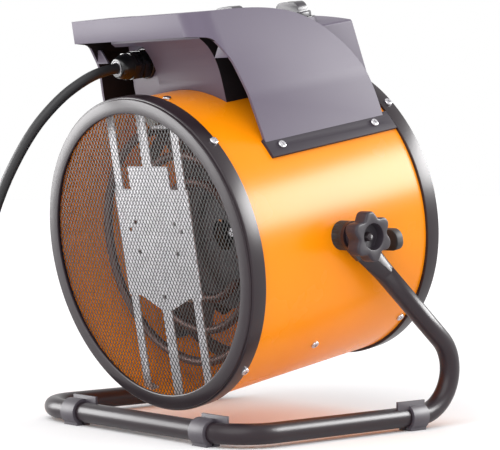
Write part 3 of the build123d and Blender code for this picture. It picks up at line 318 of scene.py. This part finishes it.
# painted shade for the inside of the covers and the control box's sides: matt, and coloured almost black
# where little light reaches
paintedShadePlastic = grained("matt ABS, painted shade", "#1d191d", "#181518", 0.75, 0.9, 0.03, specular=0.15)
# black ABS of the dial knobs and plates: darker than the covers and a touch glossier
knobPlastic = grained("moulded black ABS", "#3a363d", "#322e35", 0.36, 0.7, 0.012)
# glass filled nylon of the star knobs: a dusty dark grey with a soft sheen
starNylon = grained("glass filled nylon", "#352f36", "#2e292f", 0.42, 0.8, 0.015, specular=0.3)
# nylon 66 of the gland, plug and tie: black with a waxy gloss
nylon = grained("black nylon", "#121214", "#0c0c0e", 0.28, 1.4, 0.01)
# EPDM rubber of the pivot bushes and tilt stops: black and matt
rubber = grained("black rubber", "#1d1c1e", "#151416", 0.6, 0.9, 0.02)
# PVC of the foot clips: a dusty mauve grey with hardly any gloss
clipPlastic = grained("dusty grey PVC", "#4a444c", "#403a42", 0.5, 0.9, 0.015)
# silicone of the gland's seal: a grey lip, painted pale for the highlight ring at the gland's mouth
sealPaintedHighlight = grained("grey silicone seal, painted highlight", "#b9b7bb", "#a5a3a8", 0.35, 1.0, 0.01)
# neoprene sheath of the mains lead: black, smoother than the rubbers
sheath = grained("black cable sheath", "#19181b", "#121113", 0.46, 1.2, 0.01)
# expanded steel dipped black: satin strands, slightly rough
meshPaint = grained("black dipped mesh", "#0f0e10", "#080709", 0.45, 0.6, 0.01)
# bare steel of the motor's core and caps: a dull mid grey metal
motorSteel = grained("motor steel", "#5d5d60", "#4c4c50", 0.4, 0.5, 0.02, metallic=0.9)
# stainless sheath of the elements: browned and dulled by heat
elementSheath = grained("heat browned sheath", "#6b463c", "#4b332e", 0.45, 1.5, 0.02, metallic=0.4)
# steatite: dense off-white ceramic with a thin glaze
steatite = grained("steatite ceramic", "#ded9cd", "#d2ccbe", 0.3, 0.8, 0.01)
# sintered bronze of the motor bushes: a dull warm metal, porous to the eye
bronze = grained("sintered bronze", "#a8814a", "#8f6c3c", 0.42, 0.4, 0.02, metallic=1.0)
# phenolic of switch, thermostat and cut-out: a flat grey brown
phenolic = grained("brown phenolic", "#8a8378", "#7c756b", 0.5, 0.6, 0.02)
# steel fan blades sprayed black: low sheen with a little spray texture
fanPaint = grained("black sprayed steel", "#151417", "#0e0d10", 0.38, 1.6, 0.01)
# bright zinc plate on screws, pins and spindles: a light mirror with a fine haze
zincPlate = grained("bright zinc plate", "#d5d3d6", "#c2c0c4", 0.24, 0.5, 0.008, metallic=1.0)
# the carrier disc close behind the elements: galvanised sheet dulled by heat
dullSheet = grained("heat dulled sheet", "#4a4448", "#3a3539", 0.5, 2.5, 0.01, metallic=0.3)
# pad print on the dials: flat dense white ink
padPrint = grained("white pad print", "#e8e6ea", "#dedce0", 0.5, 0.5, 0.004)

# hot dipped galvanised sheet: pale metal with dim crystal spangle
zincSet = {"spangle": 7.0, "dim": "#bfbdc0", "bright": "#d2d0d3", "smooth": 0.38, "rough": 0.52,
           "metallic": 0.25}


def galvanised():
    material, shader = newMaterial("galvanised sheet")
    tree = material.node_tree
    place = addNode(tree, "ShaderNodeTexCoord").outputs["Object"]
    cells = addNode(tree, "ShaderNodeTexVoronoi", links={"Vector": place},
                    values={"Scale": 1 / (zincSet["spangle"] * mm)})
    tint = addNode(tree, "ShaderNodeMix", data_type="RGBA", links={"Factor": cells.outputs["Color"]},
                   values={"A": hexColour(zincSet["dim"]), "B": hexColour(zincSet["bright"])})
    tree.links.new(tint.outputs["Result"], shader.inputs["Base Color"])
    rough = addNode(tree, "ShaderNodeMapRange", links={"Value": cells.outputs["Color"]},
                    values={"To Min": zincSet["smooth"], "To Max": zincSet["rough"]})
    tree.links.new(rough.outputs["Result"], shader.inputs["Roughness"])
    shader.inputs["Metallic"].default_value = zincSet["metallic"]
    return material


zincSheet = galvanised()
print("materials made")

# CAD nodes that stay as they are and only take their finish
bareNodes = {"terminal_block": steatite, "thermostat_body": phenolic, "mode_switch": phenolic,
             "thermal_cutout": phenolic, "motor_bushes": bronze, "gland_nut": nylon, "fan_shaft": zincPlate,
             "fan_nut": zincPlate, "mode_spindle": zincPlate, "thermostat_spindle": zincPlate,
             "plug_pins": zincPlate}
for node, material in bareNodes.items():
    paint(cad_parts[node], material)

# drum shell: rolled sheet with a lapped seam underneath
shellSet = {"front": 4.45, "rear": 237.8, "sides": 288, "seamAngle": -96.0, "seamHalf": 3.4,
            "seamProud": 0.35, "seamEdge": 0.3, "sharp": 30.0}


def drumShell():
    s = shellSet
    bpy.ops.mesh.primitive_cylinder_add(vertices=s["sides"], radius=drum["radius"] * mm,
                                        depth=(s["rear"] - s["front"]) * mm, end_fill_type="NOTHING",
                                        location=(0, (s["rear"] + s["front"]) / 2 * mm, 0),
                                        rotation=(math.pi / 2, 0, 0))
    shell = settle(bpy.context.object)
    shell.name = "drumShell"

    def inSeam(face):
        middle = face.calc_center_median()
        return abs(math.degrees(math.atan2(middle.z, middle.x)) - s["seamAngle"]) < s["seamHalf"]

    pickFaces(shell, inSeam)
    bpy.ops.mesh.inset(thickness=s["seamEdge"] * mm, depth=s["seamProud"] * mm)
    leaveEdit()
    addWall(shell, drum["wall"], -1.0)  # the wall grows inwards
    smooth(shell, s["sharp"])
    return settle(shell, drumTurn)


mount(drumShell(), "drum", orangePowderCoat, "drum_shell")

# rims: pressed rings, each drawn as the (radius, depth) points round its section
rimSet = {"steps": 192, "sharp": 28.0}
rimSections = {
    "front_rim": ("frontRim", [(134.5, 3.2), (137.3, 3.2), (137.3, 2.0), (146.3, 2.0), (146.9, 2.12),
                               (147.4, 2.45), (147.7, 2.95), (147.8, 3.6), (147.8, 16.9), (147.65, 17.6),
                               (147.2, 18.05), (146.6, 18.2), (143.55, 18.2), (143.55, 4.4), (134.5, 4.4)]),
    "front_face_ring": ("faceRing", [(132.7, 2.0), (132.7, 0.9), (132.85, 0.45), (133.2, 0.15), (133.7, 0.0),
                                     (145.0, 0.0), (145.5, 0.15), (145.85, 0.45), (146.0, 0.9),
                                     (146.0, 2.0)]),
    "rear_rim": ("rearRim", [(143.55, 224.9), (145.3, 224.9), (145.9, 225.05), (146.3, 225.5),
                             (146.4, 226.1), (146.4, 239.1), (146.25, 239.8), (145.8, 240.3), (145.1, 240.5),
                             (134.4, 240.5), (134.1, 240.35), (134.0, 240.0), (134.0, 239.0),
                             (143.55, 239.0)])}
for node, (name, section) in rimSections.items():
    ring = turned(name, section, rimSet["steps"])
    smooth(ring, rimSet["sharp"])
    mount(settle(ring, drumTurn), "drum", blackEnamel, node)
print("drum and rims made")

# expanded metal: a turned grid of diamonds, each one opened, then given its thickness
netSet = {"wide": 4.6, "tall": 7.0, "strand": 0.28, "thick": 0.36, "band": 1.6}
netDiscs = {"front_grille": {"name": "frontNet", "radius": 136.6, "depth": 2.6},
            "rear_grille": {"name": "rearNet", "radius": 141.0, "depth": 238.4}}


def expandedNet(name, radius, depth):
    n = netSet
    cells = 2 * math.ceil(radius * math.hypot(1 / n["wide"], 1 / n["tall"])) + 2
    bpy.ops.mesh.primitive_grid_add(x_subdivisions=cells, y_subdivisions=cells, size=cells * mm,
                                    rotation=(0, 0, math.pi / 4))
    net = settle(bpy.context.object)
    net.name = name
    net.scale = (n["wide"] / math.sqrt(2), n["tall"] / math.sqrt(2), 1)
    net.rotation_euler = (math.pi / 2, 0, 0)
    settle(net)
    limit = radius * mm
    inner = limit - n["band"] * mm
    pickFaces(net, lambda face: sum(fromAxis(v.co) > limit for v in face.verts) > 2)
    bpy.ops.mesh.delete(type="FACE")
    sheet = bmesh.from_edit_mesh(net.data)
    for vert in sheet.verts:  # the net is sheared round, so its last cells end on the circle
        far = fromAxis(vert.co)
        if far > limit:
            vert.co.x, vert.co.z = vert.co.x * limit / far, vert.co.z * limit / far
    bmesh.update_edit_mesh(net.data)
    leaveEdit()
    pickFaces(net, lambda face: fromAxis(face.calc_center_median()) < inner)
    bpy.ops.mesh.inset(thickness=n["strand"] * mm, use_individual=True)
    bpy.ops.mesh.delete(type="FACE")
    leaveEdit()
    addWall(net, n["thick"], 0.0)
    net.data.transform(Matrix.Translation((0, depth * mm, 0)))
    return settle(net, drumTurn)


for node, disc in netDiscs.items():
    net = expandedNet(**disc)
    mount(net, "drum", meshPaint, node)
    print("net made", len(net.data.polygons))

# moulded covers: the CAD surfaces with their edges rounded as the mould leaves them
coverSharp = 32.0
coverSet = {"hood": ("hoodShell", 1.0), "control_box": ("controlBox", 0.8), "rear_box": ("rearBox", 0.8),
            "deck_bezel": ("deckBezel", 0.35)}
paintedDarkSet = {"flangeRadius": 146.8, "flangeSide": 100.0, "inward": 0.55, "sideways": 0.7}


# which material a face takes: 1 on the screw flange, with its painted dark reflection, 2 with painted shade
# inside the hood and on the box's sides, else 0
def paintedDarkFace(node, spot, way):
    far = fromAxis(spot)
    if node == "control_box":
        return 2 if abs(way.x) > paintedDarkSet["sideways"] else 0
    if far < paintedDarkSet["flangeRadius"] * mm and abs(spot.x) > paintedDarkSet["flangeSide"] * mm:
        return 1
    return 2 if spot.x * way.x + spot.z * way.z < -paintedDarkSet["inward"] * far else 0


level = drumTurn.inverted()
for node, (name, edge) in coverSet.items():
    cover = cleanCopy(node, name)
    soften(cover, edge, coverSharp)
    mount(cover, "drum", moulded, node)
    # the flange takes its painted dark reflection, and the hood's inside and the box's sides their painted
    # shade
    if node in ("hood", "control_box"):
        cover.data.materials.append(coarseFlangeDarkReflection)
        cover.data.materials.append(paintedShadePlastic)
        for face in cover.data.polygons:
            face.material_index = paintedDarkFace(node, level @ face.center, level.to_3x3() @ face.normal)
print("covers made")

# stand tube and its foot clips, then the bushes, tilt stops and bolts of its pivots
standSet = {"tubeSharp": 40.0, "sharp": 35.0, "clipEdge": 0.7, "stopEdge": 0.8}
tube = cleanCopy("stand_tube", "standTube")
smooth(tube, standSet["tubeSharp"])
mount(tube, "stand", blackEnamel, "stand_tube")
for corner in ("front_left", "front_right", "rear_left", "rear_right"):
    clip = cleanCopy("foot_clip_" + corner, "footClip_" + corner)
    soften(clip, standSet["clipEdge"], standSet["sharp"])
    mount(clip, "stand", clipPlastic, "foot_clip_" + corner)
for side in ("left", "right"):
    bush = cleanCopy("pivot_bush_" + side, "pivotBush_" + side)
    smooth(bush, standSet["sharp"])
    mount(bush, "drum", rubber, "pivot_bush_" + side)
    stop = cleanCopy("tilt_stop_" + side, "tiltStop_" + side)
    soften(stop, standSet["stopEdge"], standSet["sharp"])
    mount(stop, "drum", rubber, "tilt_stop_" + side)
bolts = cleanCopy("pivot_bolts", "pivotBolts")
smooth(bolts, standSet["sharp"])
mount(bolts, "drum", blackEnamel, "pivot_bolts")
print("stand made")

# star knobs: a circle pulled into six lobes, extruded, rounded and bored, modelled once and copied
starSet = {"tip": 22.9, "valley": 17.6, "lobes": 6, "lobeShape": 1.35, "sides": 180, "inner": 159.5,
           "web": 169.7, "outer": 184.7, "hub": 11.0, "recess": 12.0, "recessDepth": 9.0, "bore": 4.08,
           "boreSides": 48, "overlap": 2.0, "round": 2.2, "roundSteps": 5,
           "roundSharp": 60.0, "edge": 0.5, "edgeSharp": 50.0, "sharp": 40.0}


def rodAlongX(radius, x0, x1, sides=64):
    bpy.ops.mesh.primitive_cylinder_add(vertices=sides, radius=radius * mm, depth=(x1 - x0) * mm,
                                        location=((x0 + x1) / 2 * mm, drum["pivotDepth"] * mm, 0),
                                        rotation=(0, math.pi / 2, 0))
    return settle(bpy.context.object)


def starShape():
    s = starSet
    bpy.ops.mesh.primitive_circle_add(vertices=s["sides"], radius=1.0, fill_type="NGON",
                                      rotation=(0, math.pi / 2, 0))
    knob = settle(bpy.context.object)
    for vert in knob.data.vertices:
        turn = math.atan2(vert.co.y, vert.co.z)
        wave = 0.5 + 0.5 * math.cos(s["lobes"] * turn)
        far = s["valley"] + (s["tip"] - s["valley"]) * (1 - (1 - wave) ** s["lobeShape"])
        along, up = drum["pivotDepth"] + far * math.sin(turn), far * math.cos(turn)
        vert.co = (s["web"] * mm, along * mm, up * mm)
    editAll(knob)
    bpy.ops.mesh.extrude_region_move(TRANSFORM_OT_translate={"value": ((s["outer"] - s["web"]) * mm, 0, 0)})
    bpy.ops.mesh.select_all(action="SELECT")
    bpy.ops.mesh.normals_make_consistent(inside=False)
    leaveEdit()
    addBevel(knob, s["round"], s["roundSharp"], s["roundSteps"])
    cutWith(knob, rodAlongX(s["hub"], s["inner"], s["web"] + s["overlap"]), "UNION")
    cutWith(knob, rodAlongX(s["recess"], s["outer"] - s["recessDepth"], s["outer"] + s["overlap"]))
    cutWith(knob, rodAlongX(s["bore"], s["inner"] - s["overlap"], s["outer"] + s["overlap"], s["boreSides"]))
    addBevel(knob, s["edge"], s["edgeSharp"])
    smooth(knob, s["sharp"])
    return knob


star = starShape()
for side in ("left", "right"):
    knob = ownCopy(star, "starKnob_" + side)
    if side == "left":
        knob.data.transform(Matrix.Scale(-1, 4, (1, 0, 0)))
        knob.data.flip_normals()
    mount(settle(knob, drumTurn), "star_" + side, starNylon, "star_knob_" + side)
bpy.data.objects.remove(star)
print("star knobs made")

# pan head screws with a cross recess: modelled once, copied to every (angle, radius, depth)
screwSet = {"head": 4.0, "height": 2.3, "sides": 40, "round": 1.25, "roundSteps": 5, "rimShare": 0.9,
            "cross": 2.1, "slot": 0.8, "deep": 1.1, "sharp": 40.0, "firstTurn": 23.0, "turnStep": 41.0}
screwRows = {
    "rim_screws": ("rimScrews", [(a, r, y) for a in (45, 135, 225, 315)
                                 for r, y in ((147.75, 14.2), (146.35, 234.0))]),
    "hood_screws": ("hoodScrews", [(a, 146.5, y) for a in (37.6, 142.4) for y in (83.0, 200.5)]),
    "bracket_screws": ("bracketScrews", [(a, 143.45, y) for a, y in (
        (-45, 104.0), (225, 104.0), (-45, 217.0), (225, 217.0), (79.4, 31.0), (100.6, 31.0))])}


def panHead():
    s = screwSet
    bpy.ops.mesh.primitive_cylinder_add(vertices=s["sides"], radius=s["head"] * mm, depth=s["height"] * mm,
                                        location=(0, 0, s["height"] / 2 * mm))
    head = settle(bpy.context.object)
    bpy.ops.object.mode_set(mode="EDIT")
    bpy.ops.mesh.select_mode(type="EDGE")
    bpy.ops.mesh.select_all(action="DESELECT")
    sheet = bmesh.from_edit_mesh(head.data)
    for edge in sheet.edges:
        edge.select_set(all(v.co.z > s["rimShare"] * s["height"] * mm for v in edge.verts))
    bpy.ops.mesh.bevel(offset=s["round"] * mm, segments=s["roundSteps"])
    leaveEdit()
    for turn in (0, math.pi / 2):
        bpy.ops.mesh.primitive_cube_add(size=1.0, location=(0, 0, s["height"] * mm), rotation=(0, 0, turn))
        bar = bpy.context.object
        bar.scale = (2 * s["cross"] * mm, s["slot"] * mm, 2 * s["deep"] * mm)
        cutWith(head, settle(bar))
    smooth(head, s["sharp"])
    return head


def screwRow(name, places, head):
    along = Vector((0, 1, 0))
    copies = []
    for i, (angle, radius, depth) in enumerate(places):
        outward = Vector((math.cos(math.radians(angle)), 0, math.sin(math.radians(angle))))
        stand = Matrix((along, outward.cross(along), outward)).transposed().to_4x4()
        crossTurn = math.radians(screwSet["firstTurn"] + screwSet["turnStep"] * i)
        screw = ownCopy(head, name)
        screw.data.transform(Matrix.Rotation(crossTurn, 4, "Z"))
        screw.data.transform(stand)
        screw.data.transform(Matrix.Translation((outward * radius + along * depth) * mm))
        copies.append(screw)
    return settle(joinAll(*copies), drumTurn)


head = panHead()
for node, (name, places) in screwRows.items():
    mount(screwRow(name, places, head), "drum", zincPlate, node)
bpy.data.objects.remove(head)
print("screws made")

# cable gland: flange, hexagon, and a domed cap round a soft seal, drawn as (radius, depth) sections
glandSet = {"x": -47.98, "z": 170.5, "bodySharp": 38.0, "capSharp": 35.0, "sealSharp": 40.0,
            "bodyHex": {"flats": 26.0, "y0": 59.0, "y1": 68.2}, "bodyEdge": 0.9,
            "bodyBore": {"radius": 5.1, "y0": 50.0, "y1": 90.0, "steps": 48},
            "flange": [(5.2, 68.0), (13.9, 68.0), (14.6, 68.3), (15.0, 69.0), (15.0, 71.0), (10.0, 71.0),
                       (10.0, 83.0), (5.2, 83.0)],
            "capHex": {"flats": 25.0, "y0": 47.4, "y1": 58.9}, "capEdge": 0.8, "hexSharp": 40.0,
            "capBore": {"radius": 7.25, "y0": 34.0, "y1": 60.0, "steps": 64},
            "cap": [(7.25, 35.0), (8.3, 35.0), (9.3, 35.6), (10.6, 38.0), (11.6, 41.5), (12.2, 45.2),
                    (12.5, 46.9), (12.5, 58.9), (7.25, 58.9)],
            "seal": [(5.12, 58.9), (5.12, 36.2), (5.35, 35.5), (5.9, 35.15), (6.6, 35.25), (7.0, 35.7),
                     (7.15, 36.6), (7.15, 58.9)],
            "steps": 64, "capSteps": 96}
glandMove = drumTurn @ Matrix.Translation((glandSet["x"] * mm, 0, glandSet["z"] * mm))


def hexagon(name, flats, y0, y1):
    bpy.ops.mesh.primitive_cylinder_add(vertices=6, radius=flats / math.sqrt(3) * mm, depth=(y1 - y0) * mm,
                                        location=(0, (y0 + y1) / 2 * mm, 0),
                                        rotation=(math.pi / 2, math.pi / 6, 0))
    nut = settle(bpy.context.object)
    nut.name = name
    return nut


def drill(radius, y0, y1, steps, needle=0.01):  # what it bores with has a needle thin hole along its axis
    return turned("drill", [(needle, y0), (radius, y0), (radius, y1), (needle, y1)], steps)


glandBody = hexagon("glandBody", **glandSet["bodyHex"])
cutWith(glandBody, drill(**glandSet["bodyBore"]))
addBevel(glandBody, glandSet["bodyEdge"], glandSet["hexSharp"])
cutWith(glandBody, turned("flange", glandSet["flange"], glandSet["steps"]), "UNION")
smooth(glandBody, glandSet["bodySharp"])
mount(settle(glandBody, glandMove), "drum", nylon, "gland_body")

glandCap = turned("glandCap", glandSet["cap"], glandSet["capSteps"])
capHex = hexagon("capHex", **glandSet["capHex"])
cutWith(capHex, drill(**glandSet["capBore"]))
addBevel(capHex, glandSet["capEdge"], glandSet["hexSharp"])
cutWith(glandCap, capHex, "UNION")
smooth(glandCap, glandSet["capSharp"])
mount(settle(glandCap, glandMove), "drum", nylon, "gland_cap")

glandSeal = turned("glandSeal", glandSet["seal"], glandSet["steps"])
smooth(glandSeal, glandSet["sealSharp"])
mount(settle(glandSeal, glandMove), "drum", sealPaintedHighlight, "gland_seal")
print("gland made")

# rotary controls: skirted knobs with a painted line, on plates with a printed ring of marks and numbers
controlSet = {"x": 45.02, "y": 180.0, "sharp": 40.0, "knobEdge": 0.5, "plateEdge": 0.2,
              "plateSteps": 2}
printSet = {"plate": 194.2, "grip": 209.6, "thick": 0.12, "weld": 0.001, "ring": 19.5, "mark": 1.7,
            "wide": 0.6, "figure": 2.6, "line": 11.0, "lineMiddle": 9.6, "lineWide": 1.2}
dialSet = {"mode": {"side": -1, "sweep": 270.0, "figures": 3, "ticks": 3},
           "thermostat": {"side": 1, "sweep": 300.0, "figures": 5, "ticks": 5}}


def stampBar(spot, length, width, turn):
    bpy.ops.mesh.primitive_cube_add(size=1.0, location=Vector(spot) * mm, rotation=(0, 0, turn))
    bar = bpy.context.object
    bar.scale = (length * mm, width * mm, printSet["thick"] * mm)
    paint(settle(bar, drumTurn), padPrint)
    return bar


def stampFigure(text, spot, turn):
    bpy.ops.object.text_add(location=Vector(spot) * mm, rotation=(0, 0, turn))
    figure = bpy.context.object
    figure.data.body, figure.data.size = text, printSet["figure"] * mm
    figure.data.align_x, figure.data.align_y = "CENTER", "CENTER"
    figure.data.extrude = printSet["thick"] / 2 * mm
    bpy.ops.object.convert(target="MESH")
    editAll(figure)
    bpy.ops.mesh.remove_doubles(threshold=printSet["weld"] * mm)
    bpy.ops.mesh.normals_make_consistent(inside=False)
    leaveEdit()
    paint(settle(figure, drumTurn), padPrint)
    return figure


def dialPrint(dial):
    p = printSet
    stamps = []
    steps = dial["figures"] * dial["ticks"]
    for i in range(steps + 1):
        turn = math.pi + math.radians(dial["sweep"]) * i / steps
        spot = (dial["side"] * controlSet["x"] + p["ring"] * math.cos(turn),
                controlSet["y"] + p["ring"] * math.sin(turn), p["plate"])
        if i % dial["ticks"]:
            stamps.append(stampBar(spot, p["mark"], p["wide"], turn))
        else:
            stamps.append(stampFigure(str(i // dial["ticks"]), spot, turn - math.pi / 2))
    return stamps


for name, dial in dialSet.items():
    knob = cleanCopy(name + "_knob", name + "Knob")
    soften(knob, controlSet["knobEdge"], controlSet["sharp"])
    mount(knob, name + "_control", knobPlastic, name + "_knob")
    lineSpot = (dial["side"] * controlSet["x"] - printSet["lineMiddle"], controlSet["y"], printSet["grip"])
    joinAll(knob, stampBar(lineSpot, printSet["line"], printSet["lineWide"], 0))
    plate = cleanCopy(name + "_dial_plate", name + "DialPlate")
    addBevel(plate, controlSet["plateEdge"], controlSet["sharp"], controlSet["plateSteps"])
    mount(plate, "drum", knobPlastic, name + "_dial_plate")
    joinAll(plate, *dialPrint(dial))
print("controls made")

# inner parts keep the CAD surfaces, welded and smooth shaded up to the angle in the last place
innerSet = {"front_baffle": ("frontBaffle", "drum", zincSheet, "zinc_sheet", 6),
            "element_carrier": ("elementCarrier", "drum", dullSheet, "zinc_sheet", 6),
            "motor_bracket": ("motorBracket", "drum", zincSheet, "zinc_sheet", 6),
            "cutout_bracket": ("cutoutBracket", "drum", zincSheet, "zinc_sheet", 30),
            "fan_impeller": ("fanImpeller", "fan", fanPaint, "fan_blade", 30),
            "motor_stator": ("motorStator", "drum", motorSteel, "motor_steel", 35),
            "motor_front_cap": ("motorFrontCap", "drum", motorSteel, "motor_steel", 35),
            "motor_rear_cap": ("motorRearCap", "drum", motorSteel, "motor_steel", 35),
            "heating_element_outer": ("elementOuter", "drum", elementSheath, "element_sheath", 45),
            "heating_element_middle": ("elementMiddle", "drum", elementSheath, "element_sheath", 45),
            "heating_element_inner": ("elementInner", "drum", elementSheath, "element_sheath", 45),
            "element_insulators": ("elementInsulators", "drum", steatite, "ceramic", 40)}
for node, (name, body, material, slot, sharp) in innerSet.items():
    inner = cleanCopy(node, name, flatten=False)
    smooth(inner, sharp)
    mount(inner, body, material, node)
print("inner parts made")

# tie round the coil
tieSet = {"edge": 0.45, "sharp": 40.0}
tie = cleanCopy("cord_tie", "cordTie")
soften(tie, tieSet["edge"], tieSet["sharp"])
mount(tie, "stand", nylon, "cord_tie")

# plug on the cord's end: its neck has moulded rings that let it bend, each a little wider than the last
plugSet = {"mouth": [(0.0, 0.6), (5.12, 0.6), (5.12, 0.0), (6.3, 0.0)],
           "rings": 6, "firstRing": 2.0, "ringPitch": 3.8, "ringRadius": 6.6, "ringGrow": 0.62,
           "grooveDeep": 0.9, "grooveWide": 1.2, "ringFront": 1.5, "ringBack": 3.3,
           "body": [(10.6, 25.2), (13.6, 25.8), (16.0, 27.2), (16.95, 29.6), (16.95, 34.0), (16.2, 35.4),
                    (16.2, 50.0), (16.95, 51.4), (16.95, 57.2), (16.5, 59.0), (15.2, 59.9), (0.0, 59.95)],
           "steps": 96, "sharp": 32.0}


def plugPiece():
    s = plugSet
    profile = list(s["mouth"])
    for i in range(s["rings"]):
        y, wide = s["firstRing"] + i * s["ringPitch"], s["ringRadius"] + i * s["ringGrow"]
        narrow = wide - s["grooveDeep"]
        profile += [(narrow, y), (narrow, y + s["grooveWide"]), (wide, y + s["ringFront"]),
                    (wide, y + s["ringBack"])]
    plug = turned("plugBody", profile + s["body"], s["steps"], loop=False)
    smooth(plug, s["sharp"])
    low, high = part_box("plug_body")
    mouth = ((low.x + high.x) / 2, high.y, (low.z + high.z) / 2)
    plug.data.transform(Matrix.Translation(mouth) @ Matrix.Rotation(math.pi, 4, "Z"))
    return plug


plug = plugPiece()
mount(plug, "stand", nylon, "plug_body")
print("tie and plug made")

# mains cord: one spline from the gland's mouth down to the floor and into the coil
cord = {"radius": 5.0, "lift": 1.3, "coilRadius": 60.0, "coilPitch": 10.7, "layer": 10.7, "halfTurns": 3,
        "lead": 10.0, "tail": 40.0, "steps": 8, "between": 6, "roundness": 5, "order": 3, "sharp": 60.0,
        "route": [(-47.98, -112.6, 337.4), (-47.98, -128.3, 334.6), (-50.1, -148.5, 326.0),
                  (-57.3, -173.4, 307.2), (-69.7, -198.8, 273.5), (-86.4, -224.5, 210.5),
                  (-96.4, -238.3, 130.6), (-110.8, -256.8, 58.3), (-133.7, -288.2, 18.0),
                  (-148.4, -321.3, 6.3), (-152.3, -349.0, 6.3), (-152.3, -371.0, 6.3)]}


# half turns that wind inwards on the floor, climb one layer, and wind out again to the tail
def coilRoute():
    endX, endY = cord["route"][-1][:2]
    middleX, middleY = endX - cord["coilRadius"], endY - cord["lead"]
    points = []
    x = radius = cord["coilRadius"]
    z, heading = cord["radius"] + cord["lift"], -1
    for half in range(2 * cord["halfTurns"]):
        climb = cord["layer"] if half == cord["halfTurns"] else 0.0
        far = -x / abs(x) * (2 * radius - abs(x))
        for step in range(cord["steps"]):
            share = step / cord["steps"]
            reach = (x + far) / 2 + (x - far) / 2 * math.cos(math.pi * share)
            swing = heading * radius * math.sin(math.pi * share)
            points.append((middleX + reach, middleY + swing, z + climb * share))
        x, z, heading = far, z + climb, -heading
        radius += -cord["coilPitch"] / 2 if half < cord["halfTurns"] else cord["coilPitch"] / 2
    return points + [(middleX + x, middleY + heading * cord["tail"] * share, z) for share in (0, 0.5, 1)]


def cordPiece():
    points = [Vector(p) * mm for p in cord["route"] + coilRoute()]
    curve = bpy.data.curves.new("mainsCord", "CURVE")
    curve.dimensions, curve.resolution_u, curve.bevel_resolution = "3D", cord["between"], cord["roundness"]
    spline = curve.splines.new("NURBS")
    spline.points.add(len(points) - 1)
    for point, where in zip(spline.points, points):
        point.co = (*where, 1.0)
    spline.order_u = cord["order"]
    spline.use_endpoint_u = True
    line = bpy.data.objects.new("cordLine", curve)
    scene.collection.objects.link(line)
    thin = bpy.data.meshes.new_from_object(line)
    path = [tuple(v.co) for v in thin.vertices]
    curve.bevel_depth = cord["radius"] * mm
    curve.use_fill_caps = True
    tube = bpy.data.objects.new("mainsCord", bpy.data.meshes.new_from_object(line))
    scene.collection.objects.link(tube)
    bpy.data.objects.remove(line)
    smooth(tube, cord["sharp"])
    return tube, path


mainsCord, cordPath = cordPiece()
paint(mainsCord, sheath)
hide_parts("power_cord", "power_cord_coil")
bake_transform(mainsCord)
print("cord laid")
